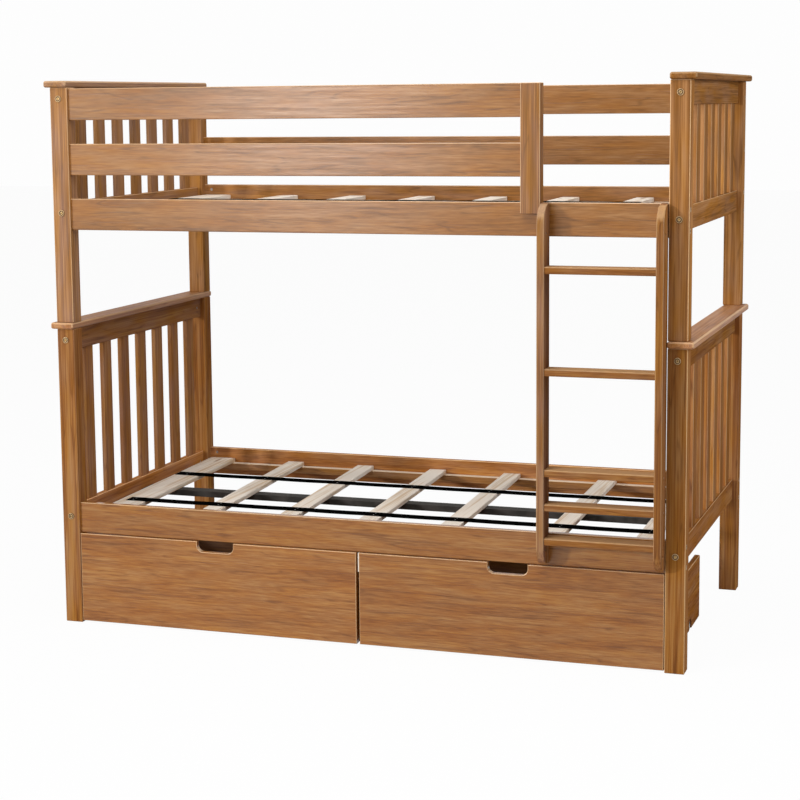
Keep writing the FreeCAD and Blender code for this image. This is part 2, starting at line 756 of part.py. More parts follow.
def make_drawer_front(drawer):
    """Makes a drawer front with the finger pull cut into its top edge and a groove for the base."""
    at = (DRAWER_X[drawer], "front", "drawer_floor_gap")
    piece = body(f"{drawer}_drawer_front", at)
    block(piece, ("drawer_width", "drawer_front_thickness", "drawer_front_height"))
    deep = "drawer_front_thickness + through"
    straight = "pull_drop - pull_radius"
    block(
        piece,
        ("pull_width", deep, f"{straight} + overrun"),
        ("drawer_width / 2 - pull_width / 2", "-overrun", f"drawer_front_height - ({straight})"),
        cut=True,
    )
    block(
        piece,
        ("pull_width - 2 * pull_radius", deep, "pull_radius + overrun"),
        ("drawer_width / 2 - pull_width / 2 + pull_radius", "-overrun", "drawer_front_height - pull_drop"),
        cut=True,
    )
    for sign in "-+":
        middle = f"drawer_width / 2 {sign} (pull_width / 2 - pull_radius)"
        at_corner = (middle, "-overrun", f"drawer_front_height - ({straight})")
        corner = rod(piece, "y", "2 * pull_radius", deep, at_corner, cut=True)
    round_edges(piece, corner, "drawer_ease", in_front_face)
    groove_size = (
        "drawer_inner_width + 2 * drawer_groove + 2 * groove_play",
        "drawer_groove + overrun",
        "drawer_base_thickness + 2 * groove_play",
    )
    groove_at = (
        "drawer_side_thickness - drawer_groove - groove_play",
        "drawer_front_thickness - drawer_groove",
        f"{BASE_IN_SIDE} - groove_play",
    )
    block(piece, groove_size, groove_at, cut=True)
    return keep(piece)


def make_drawer_side(drawer, end):
    """Makes a drawer side with a groove for the base and notches for the wheels."""
    side_foot = "front + drawer_front_thickness"
    at = (f"{DRAWER_X[drawer]} + {SIDE_X[end]}", side_foot, "drawer_floor_gap")
    size = ("drawer_side_thickness", "side_length", "drawer_side_height")
    piece = board(f"{drawer}_drawer_{end}_side", size, at, "drawer_ease", "y")
    groove_x = "drawer_side_thickness - drawer_groove" if end == "left" else "-overrun"
    groove_size = (
        "drawer_groove + overrun",
        "side_length + through",
        "drawer_base_thickness + 2 * groove_play",
    )
    block(piece, groove_size, (groove_x, "-overrun", f"{BASE_IN_SIDE} - groove_play"), cut=True)
    across = "drawer_side_thickness + through"
    for axle in AXLES.values():
        middle = f"{axle} - ({side_foot})"
        at_slot = ("-overrun", middle, "wheel_radius - drawer_floor_gap")
        rod(piece, "x", "2 * slot_radius", across, at_slot, cut=True)
        mouth = (across, "2 * slot_radius", "wheel_radius - drawer_floor_gap + overrun")
        block(piece, mouth, ("-overrun", f"{middle} - slot_radius", "-overrun"), cut=True)
    return keep(piece)


def make_drawer_back(drawer):
    """Makes the board between the drawer sides at the back, above the base's groove."""
    at = (
        f"{DRAWER_X[drawer]} + drawer_side_thickness",
        "drawer_back - drawer_side_thickness",
        "drawer_floor_gap",
    )
    size = ("drawer_inner_width", "drawer_side_thickness", "drawer_back_height")
    piece = board(f"{drawer}_drawer_back", size, at, "drawer_ease", "x")
    groove_size = (
        "drawer_inner_width + through",
        "drawer_groove + overrun",
        "drawer_base_thickness + 2 * groove_play",
    )
    block(piece, groove_size, ("-overrun", "-overrun", f"{BASE_IN_SIDE} - groove_play"), cut=True)
    return keep(piece)


def make_drawer_base(drawer):
    """Makes the thin base panel, held in the grooves on all four sides."""
    at = (
        f"{DRAWER_X[drawer]} + drawer_side_thickness - drawer_groove + groove_play",
        "front + drawer_front_thickness - drawer_groove + groove_play",
        "drawer_base_rise",
    )
    size = (
        "drawer_inner_width + 2 * drawer_groove - 2 * groove_play",
        "side_length - drawer_side_thickness + 2 * drawer_groove - 2 * groove_play",
        "drawer_base_thickness",
    )
    piece = body(f"{drawer}_drawer_base", at)
    block(piece, size)
    return keep(piece)


def wheel_start(drawer, end):
    """Gives where a wheel's left face lies: just outside its bracket, within the drawer side."""
    if end == "left":
        return f"{DRAWER_X[drawer]} + drawer_side_thickness - wheel_side_play - wheel_width"
    return f"{DRAWER_X[drawer]} + drawer_width - drawer_side_thickness + wheel_side_play"


def make_caster(drawer, end, axle):
    """Makes a caster's plate on the inner face of a drawer side and its stub axle."""
    inner = f"{DRAWER_X[drawer]} + {SIDE_X[end]}"
    if end == "left":
        plate_x = f"{inner} + drawer_side_thickness"
        axle_x = f"{plate_x} - axle_reach"
        head_x = axle_x
    else:
        plate_x = f"{inner} - caster_plate_thickness"
        axle_x = f"{plate_x}"
        head_x = f"{axle_x} + axle_reach + caster_plate_thickness - axle_head_thickness"
    plate = body("caster_plate", (plate_x, f"{AXLES[axle]} - caster_plate_width / 2", "drawer_floor_gap"))
    block(plate, ("caster_plate_thickness", "caster_plate_width", "plate_height"))
    at_axle = ("-overrun", "caster_plate_width / 2", "wheel_radius - drawer_floor_gap")
    rod(plate, "x", "axle_diameter", "caster_plate_thickness + through", at_axle, cut=True)
    stub = body("caster_axle", (axle_x, AXLES[axle], "wheel_radius"))
    rod(stub, "x", "axle_diameter", "axle_reach + caster_plate_thickness", (0, 0, 0))
    rod(stub, "x", "axle_head_diameter", "axle_head_thickness", (f"{head_x} - ({axle_x})", 0, 0))
    return [plate, stub]


def make_wheel(drawer, end, axle):
    """Makes a caster wheel with rounded rims and a running bore."""
    piece = body("wheel", (wheel_start(drawer, end), AXLES[axle], "wheel_radius"))
    tyre = rod(piece, "x", "wheel_diameter", "wheel_width", (0, 0, 0))
    round_edges(piece, tyre, "wheel_ease", lambda edge: edge.BoundBox.XLength < 0.001)
    bore_length = "wheel_width + through"
    rod(piece, "x", "axle_diameter + axle_play", bore_length, ("-overrun", 0, 0), cut=True)
    return piece


def make_drawer(drawer):
    """Makes one drawer with its casters and wheels."""
    make_drawer_front(drawer)
    for end in SIDE_X:
        make_drawer_side(drawer, end)
    make_drawer_back(drawer)
    make_drawer_base(drawer)
    casters = []
    for end in SIDE_X:
        for axle in AXLES:
            casters += make_caster(drawer, end, axle)
    group(f"{drawer}_drawer_casters", casters)
    for axle in AXLES:
        group(f"{drawer}_drawer_{axle}_wheels", [make_wheel(drawer, end, axle) for end in SIDE_X])


for drawer in DRAWER_X:
    make_drawer(drawer)


# Bolts, barrel nuts, rung screws, stacking pins and dowels

# For each kind of bolt: from under its head to the middle of its nut, the board that holds the nut,
# and the width of its head.
FIXINGS = {
    "panel": ("post_depth + nut_setback", "panel_thickness", "panel_head_diameter"),
    "rail": ("post_width - head_sink + nut_setback", "rail_thickness", "bolt_head_diameter"),
    "ladder": ("rail_thickness - head_sink + stile_nut_setback", "stile_thickness", "bolt_head_diameter"),
}


def cut_socket(piece, radius, depth, foot):
    """Cuts a hexagon socket upwards into a head whose face lies at a height."""
    socket = piece.newObject("PartDesign::SubtractivePrism", "socket")
    socket.Polygon = 6
    socket.setExpression("Circumradius", formula(radius))
    socket.setExpression("Height", formula(depth))
    place(socket, (0, 0, foot))


def make_bolt(kind):
    """Makes a flat-headed bolt along Z with its head under the origin and a hexagon socket."""
    grip, _, head = FIXINGS[kind]
    piece = body(f"{kind}_bolt", (0, 0, 0))
    rod(piece, "z", head, "bolt_head_thickness", (0, 0, "-bolt_head_thickness"))
    rod(piece, "z", "bolt_diameter", f"{grip} + bolt_tail", (0, 0, 0))
    cut_socket(piece, "socket_radius", "bolt_socket_depth", "-bolt_head_thickness")
    return piece


def make_screw():
    """Makes a rung screw along Z with its flush head at the origin."""
    piece = body("rung_screw", (0, 0, 0))
    rod(piece, "z", "screw_diameter", "screw_length", (0, 0, 0))
    rod(piece, "z", "screw_head_diameter", "screw_head_thickness", (0, 0, 0))
    cut_socket(piece, "screw_socket_radius", "screw_socket_depth", "0")
    return piece


def make_nut(kind):
    """Makes a barrel nut along Z, bored across its middle along X."""
    length = f"({FIXINGS[kind][1]} - 2 * nut_inset)"
    piece = body(f"{kind}_nut", (0, 0, 0))
    rod(piece, "z", "nut_diameter", length, (0, 0, f"-{length} / 2"))
    rod(piece, "x", "bolt_diameter + thread_play", "2 * nut_diameter", ("-nut_diameter", 0, 0), cut=True)
    return piece


def copy_of(piece, at, turn):
    """Puts a linked copy of a piece at a place, turned."""
    item = doc.addObject("App::Link", piece.Label + "_copy")
    item.LinkedObject = piece
    item.Placement = FreeCAD.Placement(FreeCAD.Vector(), turn)
    place(item, at)
    return item


def fix(kind, seat, heading, nut_axis):
    """Puts a bolt's head on a seat and its barrel nut a grip away along its heading."""
    sign, axis = heading
    direction = AXES[axis] if sign == "+" else -AXES[axis]
    across = AXES[nut_axis]
    bolts.append(copy_of(bolt_kinds[kind], seat, FreeCAD.Rotation(UP, direction)))
    at = dict(zip("xyz", seat))
    at[axis] = f"{at[axis]} {sign} ({FIXINGS[kind][0]})"
    turn = FreeCAD.Rotation(direction, across.cross(direction), across, "ZXY")
    nuts.append(copy_of(nut_kinds[kind], at.values(), turn))


def fix_panels():
    """Bolts the end panels' rails to the posts, with heads on the front and back faces."""
    for bunk in BUNK_RAIL:
        for post_x in POST_X.values():
            for level in panel_rails(bunk).values():
                for face, heading in (("front", "+y"), ("back", "-y")):
                    seat = (f"{post_x} + post_width / 2", face, f"{level} + panel_rail_height / 2")
                    fix("panel", seat, heading, "x")


RAIL_SEATS = {"left": ("left + head_sink", "+x"), "right": ("right - head_sink", "-x")}


def fix_rails():
    """Bolts the bed rails and guard rails to the posts, with heads sunk in the outer end faces."""
    for bunk in BUNK_RAIL:
        for side, rail_y in RAIL_Y.items():
            for end, (seat_x, heading) in RAIL_SEATS.items():
                for level in rail_bolt_heights(bunk, side, end):
                    fix("rail", (seat_x, f"{rail_y} + rail_thickness / 2", level), heading, "y")


def fix_ladder():
    """Bolts the ladder's stiles to the front rails from inside the bed."""
    for bunk, rail in BUNK_RAIL.items():
        for stile_x in STILE_X.values():
            seat = (
                f"{stile_x} + stile_thickness / 2",
                "rail_front_in - head_sink",
                f"{rail} + {STILE_BOLTS[bunk]}",
            )
            fix("ladder", seat, "-y", "x")


def screw_rungs():
    """Screws the rungs to the stiles from the stiles' outer faces."""
    screw = make_screw()
    for level in rung_tops():
        middle = ("stile_front + rung_setback + rung_depth / 2", f"{level} - rung_thickness / 2")
        bolts.append(copy_of(screw, ("ladder_left", *middle), FreeCAD.Rotation(UP, AXES["x"])))
        bolts.append(copy_of(screw, ("ladder_right", *middle), FreeCAD.Rotation(UP, -AXES["x"])))


def make_pin(axis, diameter, length, at):
    """Makes a plain round pin along an axis from its foot."""
    piece = body("pin", at)
    rod(piece, axis, diameter, length, (0, 0, 0))
    return piece


def make_pins():
    """Makes the stacking pins through the lower caps and the guard post's dowels."""
    pieces = []
    for post_x in POST_X.values():
        for post_y in POST_Y.values():
            middle = (f"{post_x} + post_width / 2", f"{post_y} + post_depth / 2")
            at = (*middle, "lower_post_height - pin_depth")
            pieces.append(make_pin("z", "pin_diameter", "cap_thickness + 2 * pin_depth", at))
    for level in GUARDS.values():
        for height in DOWEL_HEIGHTS:
            at = ("guard_post_left - dowel_depth", "rail_front + rail_thickness / 2", f"{level} + {height}")
            pieces.append(make_pin("x", "dowel_diameter", "2 * dowel_depth", at))
    lap = ("guard_post_left + guard_post_width / 2", "rail_front - lap_dowel_depth")
    at_lap = (*lap, "guard_post_foot + guard_lap_length / 2")
    pieces.append(make_pin("y", "dowel_diameter", "2 * lap_dowel_depth", at_lap))
    return group("pins_and_dowels", pieces)


bolt_kinds = {kind: make_bolt(kind) for kind in FIXINGS}
nut_kinds = {kind: make_nut(kind) for kind in FIXINGS}
bolts = []
nuts = []
fix_panels()
fix_rails()
fix_ladder()
screw_rungs()
group("bolts_and_screws", bolts)
group("barrel_nuts", nuts)
make_pins()


# Check and write

doc.recompute()
failed = [item.Label for item in doc.Objects if {"Invalid", "Error"} & set(item.State)]
failed += [item.Label for item in nodes if item.Shape.isNull() or not item.Shape.isValid()]
for item in doc.Objects:
    if item.TypeId.startswith("PartDesign::Subtractive"):
        if item.Shape.Volume >= item.BaseFeature.Shape.Volume:
            failed.append(f"{item.Label} cuts nothing")
if failed:
    raise RuntimeError("not built: " + ", ".join(failed))

os.makedirs("parts", exist_ok=True)
for item in nodes:
    item.Shape.exportStep(os.path.join("parts", item.Label + ".step"))
print(len(nodes), "pieces written")
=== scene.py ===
"""Dresses a wooden bunk bed in its finishes, lays its straps and staples, and sets it in a white studio."""

import logging
import math
import zlib
from dataclasses import dataclass, field, replace
from enum import Enum
from typing import Any

import bpy
import numpy as np
from mathutils import Matrix, Vector

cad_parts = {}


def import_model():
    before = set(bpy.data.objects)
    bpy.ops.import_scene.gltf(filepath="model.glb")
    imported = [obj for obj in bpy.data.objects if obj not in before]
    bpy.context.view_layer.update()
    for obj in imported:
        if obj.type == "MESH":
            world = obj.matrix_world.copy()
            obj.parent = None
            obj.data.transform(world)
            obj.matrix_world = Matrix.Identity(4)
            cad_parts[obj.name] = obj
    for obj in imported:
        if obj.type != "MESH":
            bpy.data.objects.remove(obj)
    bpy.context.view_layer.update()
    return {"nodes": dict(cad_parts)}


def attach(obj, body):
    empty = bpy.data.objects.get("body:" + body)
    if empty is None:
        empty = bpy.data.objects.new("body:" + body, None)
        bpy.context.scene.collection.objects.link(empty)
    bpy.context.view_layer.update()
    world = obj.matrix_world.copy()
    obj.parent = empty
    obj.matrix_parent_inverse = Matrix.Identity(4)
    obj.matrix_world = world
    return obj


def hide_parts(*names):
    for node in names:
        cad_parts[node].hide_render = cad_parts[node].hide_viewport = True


LOG = logging.getLogger("bunk_bed")
MM = 0.001
Nodes = dict[str, bpy.types.Object]
Pair = tuple[float, float]
Point = tuple[float, float, float]
Colour = tuple[float, float, float, float]

# A Mix node has sockets of the same names for each kind of data, so those for colours go by number.
SHARE, UNDER, OVER, MIXED = 0, 6, 7, 2
# How far along the endless pattern a board's own stretch of grain may lie, in metres.
PATTERN_REACH = 9


class Grain(Enum):
    """The way a board's fibres run, as the turn that lays them along a pattern's x axis."""

    ALONG = (0.0, 0.0, 0.0)
    ACROSS = (0.0, 0.0, -math.pi / 2)
    UP = (0.0, math.pi / 2, 0.0)


class Gloss(Enum):
    """How a board's lacquer was left: its specular level, its mean roughness and a share of white laid over
    its colour as a painted sheen.
    """

    SATIN = (0.5, 0.24, 0.0)
    EGGSHELL = (0.18, 0.5, 0.04)
    DULL = (0.08, 0.62, 0.03)
    DULL_PAINTED_SHEEN = (0.08, 0.62, 0.05)
    MATT = (0.0, 0.85, 0.02)
    MATT_PAINTED_SHEEN = (0.0, 0.85, 0.045)
    FLAT = (0.03, 0.75, 0.007)


def linear(colour: str, tone: float = 1.0, painted_sheen: float = 0.0) -> Colour:
    """Turns an sRGB hex colour into linear light, by the curve of the sRGB standard.

    Args:
        colour: The colour, as #RRGGBB.
        tone: A factor on the light, for a board whose stain is darker or paler than its finish, and for
            painted light and shade.
        painted_sheen: The share of white laid over the colour, as a painted sheen.

    Returns:
        Red, green and blue, and an alpha of one.
    """
    srgb = np.array([int(colour[k:k + 2], 16) for k in (1, 3, 5)]) / 255
    light = np.where(srgb <= 0.04045, srgb / 12.92, ((srgb + 0.055) / 1.055) ** 2.4)
    # The white share is a painted sheen laid over the colour.
    light = light * tone * (1 - painted_sheen) + painted_sheen
    return (float(light[0]), float(light[1]), float(light[2]), 1.0)


def add_node(tree: bpy.types.NodeTree, kind: str, inputs: dict[str | int, Any] | None = None,
             **settings: Any) -> bpy.types.Node:
    """Adds one node to a tree.

    Args:
        tree: The tree of a material or of the world.
        kind: The node's type, without its ShaderNode prefix.
        inputs: For each input socket, a value or the output that is linked to it.
        settings: The node's own properties.

    Returns:
        The new node.
    """
    node = tree.nodes.new(f"ShaderNode{kind}")
    for name, value in settings.items():
        setattr(node, name, value)
    for socket, value in (inputs or {}).items():
        if isinstance(value, bpy.types.NodeSocket):
            tree.links.new(value, node.inputs[socket])
        else:
            node.inputs[socket].default_value = value
    return node


def empty_material(name: str) -> tuple[bpy.types.Material, bpy.types.NodeTree]:
    """Starts a material with no nodes.

    Args:
        name: The material's name.

    Returns:
        The material and its tree.
    """
    material = bpy.data.materials.new(name)
    material.use_nodes = True
    material.node_tree.nodes.clear()
    return material, material.node_tree


def dress(node: bpy.types.Object, material: bpy.types.Material) -> None:
    """Gives an object one material in all its slots.

    Args:
        node: A node of the model, or a new piece.
        material: The material that it wears.
    """
    if not node.material_slots:
        node.data.materials.append(material)
    for slot in node.material_slots:
        slot.material = material
    LOG.info("%s wears %s", node.name, material.name)


def grid_faces(rows: int, columns: int, closed: bool = False) -> np.ndarray:
    """Works out the quads of a grid whose points run row by row.

    Args:
        rows: Number of points along the path.
        columns: Number of points across it.
        closed: Whether the last column joins the first.

    Returns:
        One row of four point numbers for each quad.
    """
    across = np.arange(columns if closed else columns - 1)
    row, column = np.meshgrid(np.arange(rows - 1), across, indexing="ij")
    following = (column + 1) % columns
    corners = (row * columns + column, row * columns + following,
               (row + 1) * columns + following, (row + 1) * columns + column)
    return np.stack(corners, axis=-1).reshape(-1, 4)


def mesh_object(name: str, points: np.ndarray, faces: np.ndarray, smooth: bool = True) -> bpy.types.Object:
    """Makes an object from arrays of points and faces, with its place in its mesh.

    Args:
        name: The piece's name.
        points: One row of x, y and z in metres for each point.
        faces: One row of point numbers for each face.
        smooth: Whether the faces are shaded as one smooth surface.

    Returns:
        The new object, linked to the scene.
    """
    mesh = bpy.data.meshes.new(name)
    mesh.from_pydata(points.tolist(), [], faces.tolist())
    mesh.polygons.foreach_set("use_smooth", np.full(len(mesh.polygons), smooth))
    mesh.update()
    piece = bpy.data.objects.new(name, mesh)
    bpy.context.scene.collection.objects.link(piece)
    return piece


def superellipse(turn: np.ndarray, power: int) -> tuple[np.ndarray, np.ndarray]:
    """Works out a rounded square: the points where |x| and |y| to a power add up to one.

    Args:
        turn: The angles at which the points lie.
        power: The power, which is greater for sharper corners.

    Returns:
        The points' x and y.
    """
    cosine, sine = np.cos(turn), np.sin(turn)
    reach = (np.abs(cosine) ** power + np.abs(sine) ** power) ** (-1 / power)
    return reach * cosine, reach * sine


def grain_place(tree: bpy.types.NodeTree, board: str, grain: Grain) -> bpy.types.NodeSocket:
    """Lays a board's fibres along a pattern's x axis.

    Args:
        tree: The tree of the board's material.
        board: The board's name, which picks its own stretch of the pattern.
        grain: The way its fibres run.

    Returns:
        The place on the pattern, in metres.
    """
    shift = np.random.default_rng(zlib.crc32(board.encode())).uniform(-PATTERN_REACH, PATTERN_REACH, 3)
    place = add_node(tree, "TexCoord").outputs["Object"]
    turned = add_node(tree, "Mapping", {"Vector": place, "Rotation": grain.value, "Location": shift})
    return turned.outputs[0]


def stretched(tree: bpy.types.NodeTree, place: bpy.types.NodeSocket, size: Pair) -> bpy.types.NodeSocket:
    """Stretches a pattern along the fibres to a real size.

    Args:
        tree: The tree of the board's material.
        place: The place on the pattern, in metres.
        size: The length along the fibres and the width across them of the pattern's unit.

    Returns:
        The place counted in lengths and widths.
    """
    length, width = size
    count = (1 / length, 1 / width, 1 / width)
    return add_node(tree, "VectorMath", {0: place, 1: count}, operation="MULTIPLY").outputs[0]


@dataclass(frozen=True)
class BoardFinish:
    """How one board was lacquered, sanded and used, and where light and shade are painted on it.

    Its grain is the way its fibres run, and its tone is a factor on its colour beside the other boards:
    partly its stain's own variation and partly painted light and shade. Wear and highlight is how far its
    eased edges
    are painted pale, from 0 to 1: partly sanded through and partly a painted highlight. Front is a factor on
    the
    colour of its front and back faces: painted light where it is above 1 and painted shade where below. Top
    is the colour of an upper face and how far that shows, from 0 to 1: bare wood on the cleats, and on the
    rungs' treads partly wear and partly painted light.
    """

    grain: Grain
    gloss: Gloss = Gloss.DULL
    tone: float = 1.0
    wear_and_highlight: float = 0.8
    front: float = 1.0
    top: tuple[str, float] | None = None


@dataclass(frozen=True)
class GrainLayers:
    """One board's layers of grain: its slow bands, its streaks, its patches, and its fine lines in relief."""

    band: bpy.types.NodeSocket
    streak: bpy.types.NodeSocket
    patch: bpy.types.NodeSocket
    fine: bpy.types.NodeSocket


@dataclass(frozen=True)
class StainedWood:
    """Hardwood boards, planed, stained honey brown and sprayed with lacquer.

    The stain sinks deeper where the grain is open, so fine darker lines follow the fibres between soft wide
    bands. Some patches are redder and some more golden, the eased edges are painted paler, partly as sanded
    wear and partly as a painted highlight, and the lacquer gives a soft sheen. Each size of the grain is a
    length along the fibres and a width across them. The casts are factors on the light.
    """

    name: str = "stained_wood"
    pale: str = "#AA7741"
    body: str = "#98642E"
    dark: str = "#7E5020"
    line: str = "#674018"
    # Colour of the pale eased edges: partly sanded wear, partly a painted highlight.
    edge: str = "#E0B88A"
    raw: str = "#E6D8C4"
    red_cast: Colour = (1.0, 0.93, 0.65, 1.0)
    gold_cast: Colour = (1.0, 1.07, 1.35, 1.0)
    drift: Pair = (1000 * MM, 250 * MM)
    wander: float = 16 * MM
    band: Pair = (750 * MM, 60 * MM)
    streak: Pair = (240 * MM, 8 * MM)
    fibre: Pair = (50 * MM, 3.2 * MM)
    patch: Pair = (150 * MM, 30 * MM)
    straight_streak: Pair = (700 * MM, 8 * MM)
    straight_fibre: Pair = (220 * MM, 3.2 * MM)
    band_share: float = 0.33
    streak_share: float = 0.29
    fibre_share: float = 0.38
    dark_below: float = 0.52
    pale_above: float = 0.48
    depth_reach: float = 0.16
    figure: float = 1.0
    rings: float = 9.0
    ring_width: float = 0.14
    ring_share: float = 0.6
    ring_fade: Pair = (0.62, 0.40)
    patch_range: Pair = (0.32, 0.68)
    front_facing: Pair = (0.7, 0.95)
    eased_facing: Pair = (0.99, 0.92)
    under_facing: Pair = (-0.3, 0.0)
    top_facing: Pair = (0.6, 0.9)
    sheen_range: Pair = (0.3, 0.7)
    sheen_change: float = 0.05
    relief_strength: float = 0.15
    relief_depth: float = 0.2 * MM

    def straight(self, figure: float = 1.0) -> "StainedWood":
        """Returns the same wood with straighter grain, whose light and dark differ by the given factor."""
        return replace(self, streak=self.straight_streak, fibre=self.straight_fibre, figure=figure)

    def layers(self, tree: bpy.types.NodeTree, board: str, grain: Grain) -> GrainLayers:
        """Draws a board's layers of grain, along fibres that wander sideways over about a metre.

        Args:
            tree: The tree of the board's material.
            board: The board's name, which picks its stretch of grain.
            grain: The way its fibres run.

        Returns:
            The layers.
        """
        place = grain_place(tree, board, grain)
        slow = stretched(tree, place, self.drift)
        drift = add_node(tree, "TexNoise", {"Vector": slow, "Scale": 1.0, "Detail": 1.0}).outputs["Color"]
        sideways = (0.0, self.wander, self.wander)
        fibres = add_node(tree, "VectorMath", {0: drift, 1: sideways, 2: place},
                          operation="MULTIPLY_ADD").outputs[0]
        noises = []
        for size, detail in ((self.band, 2.0), (self.streak, 2.0), (self.fibre, 2.0), (self.patch, 1.0)):
            counted = stretched(tree, fibres, size)
            noise = add_node(tree, "TexNoise", {"Vector": counted, "Scale": 1.0, "Detail": detail})
            noises.append(noise.outputs[0])
        band, streak, fibre, patch = noises
        fine = add_node(tree, "Math", {0: fibre, 1: self.fibre_share}, operation="MULTIPLY").outputs[0]
        fine = add_node(tree, "Math", {0: streak, 1: self.streak_share, 2: fine},
                        operation="MULTIPLY_ADD").outputs[0]
        return GrainLayers(band, streak, patch, fine)

    def stain(self, tree: bpy.types.NodeTree, layers: GrainLayers,
              finish: BoardFinish) -> bpy.types.NodeSocket:
        """Colours a board's faces.

        The depth of the stain is a weighted sum of band, streak and fibre. Growth lines follow the levels of
        the slow bands, as contour lines do, and fade where a streak is pale. The wood under the stain is
        redder in some patches and more golden in others.

        Args:
            tree: The tree of the board's material.
            layers: The board's layers of grain.
            finish: The board's gloss and tone.

        Returns:
            The stain's colour.
        """
        # The gloss's white share is a painted sheen.
        painted_sheen = finish.gloss.value[2]
        pale, body, dark, line = (linear(colour, finish.tone, painted_sheen)
                                  for colour in (self.pale, self.body, self.dark, self.line))
        depth = add_node(tree, "Math", {0: layers.band, 1: self.band_share, 2: layers.fine},
                         operation="MULTIPLY_ADD").outputs[0]
        reach = self.depth_reach / self.figure
        deep = add_node(tree, "MapRange", {
            "Value": depth, "From Min": self.dark_below, "From Max": self.dark_below - reach,
        }, interpolation_type="SMOOTHSTEP").outputs[0]
        light = add_node(tree, "MapRange", {
            "Value": depth, "From Min": self.pale_above, "From Max": self.pale_above + reach,
        }, interpolation_type="SMOOTHSTEP").outputs[0]
        stain = add_node(tree, "Mix", {SHARE: deep, UNDER: body, OVER: dark},
                         data_type="RGBA").outputs[MIXED]
        stain = add_node(tree, "Mix", {SHARE: light, UNDER: stain, OVER: pale},
                         data_type="RGBA").outputs[MIXED]
        contour = add_node(tree, "Math", {0: layers.band, 1: self.rings}, operation="MULTIPLY").outputs[0]
        contour = add_node(tree, "Math", {0: contour, 1: 0.5}, operation="PINGPONG").outputs[0]
        ring = add_node(tree, "MapRange", {"Value": contour, "From Min": self.ring_width, "From Max": 0.0},
                        interpolation_type="SMOOTHSTEP").outputs[0]
        shown = add_node(tree, "MapRange", {
            "Value": layers.streak, "From Min": self.ring_fade[0], "From Max": self.ring_fade[1],
            "To Max": self.ring_share}).outputs[0]
        grown = add_node(tree, "Math", {0: ring, 1: shown}, operation="MULTIPLY").outputs[0]
        stain = add_node(tree, "Mix", {SHARE: grown, UNDER: stain, OVER: line},
                         data_type="RGBA").outputs[MIXED]
        golden = add_node(tree, "MapRange", {
            "Value": layers.patch, "From Min": self.patch_range[0],
            "From Max": self.patch_range[1]}).outputs[0]
        cast = add_node(tree, "Mix", {SHARE: golden, UNDER: self.red_cast, OVER: self.gold_cast},
                        data_type="RGBA").outputs[MIXED]
        return add_node(tree, "Mix", {SHARE: 1.0, UNDER: stain, OVER: cast}, data_type="RGBA",
                        blend_type="MULTIPLY").outputs[MIXED]

    def wear_and_painted_light(self, tree: bpy.types.NodeTree, stain: bpy.types.NodeSocket,
             finish: BoardFinish) -> bpy.types.NodeSocket:
        """Paints a board's wear and its painted light and shade.

        Eased edges turn pale, partly as sanding and partly as a painted highlight; front and back faces are
        painted lighter or darker by the front factor; upper faces turn pale: bare wood on the cleats, and on
        the treads partly wear and partly painted light. A flat face has one normal component of 1 and an
        eased edge has none, so the greatest component tells them apart. Edges that face down keep the stain,
        without the painted highlight.

        Args:
            tree: The tree of the board's material.
            stain: The colour of its faces.
            finish: The board's wear and painted light.

        Returns:
            The colour with its wear and painted light.
        """
        normal = add_node(tree, "NewGeometry").outputs["Normal"]
        upwards = add_node(tree, "SeparateXYZ", {"Vector": normal}).outputs["Z"]
        size = add_node(tree, "VectorMath", {0: normal}, operation="ABSOLUTE").outputs[0]
        part = add_node(tree, "SeparateXYZ", {"Vector": size}).outputs
        # Painted light and shade: front and back faces made lighter or darker by the board's front factor.
        if finish.front != 1.0:
            across = add_node(tree, "MapRange", {
                "Value": part["Y"], "From Min": self.front_facing[0],
                "From Max": self.front_facing[1]}).outputs[0]
            light = (finish.front, finish.front, finish.front, 1.0)
            stain = add_node(tree, "Mix", {SHARE: across, UNDER: stain, OVER: light}, data_type="RGBA",
                             blend_type="MULTIPLY").outputs[MIXED]
        # Eased edges painted pale: partly sanded wear, partly a painted highlight; edges facing down are left
        # out.
        if finish.wear_and_highlight:
            edge = linear(self.edge, finish.tone, finish.gloss.value[2])
            most = add_node(tree, "Math", {0: part["X"], 1: part["Y"]}, operation="MAXIMUM").outputs[0]
            most = add_node(tree, "Math", {0: most, 1: part["Z"]}, operation="MAXIMUM").outputs[0]
            eased = add_node(tree, "MapRange", {
                "Value": most, "From Min": self.eased_facing[0], "From Max": self.eased_facing[1],
                "To Max": finish.wear_and_highlight}).outputs[0]
            reached = add_node(tree, "MapRange", {
                "Value": upwards, "From Min": self.under_facing[0],
                "From Max": self.under_facing[1]}).outputs[0]
            rubbed_and_highlit = add_node(tree, "Math", {0: eased, 1: reached}, operation="MULTIPLY").outputs[0]
            stain = add_node(tree, "Mix", {SHARE: rubbed_and_highlit, UNDER: stain, OVER: edge},
                             data_type="RGBA").outputs[MIXED]
        # Upper faces painted pale: bare wood on the cleats, and on the rungs' treads partly wear, partly
        # painted light.
        if finish.top:
            colour, share = finish.top
            bare = add_node(tree, "MapRange", {
                "Value": upwards, "From Min": self.top_facing[0], "From Max": self.top_facing[1],
                "To Max": share}).outputs[0]
            stain = add_node(tree, "Mix", {SHARE: bare, UNDER: stain, OVER: linear(colour)},
                             data_type="RGBA").outputs[MIXED]
        return stain

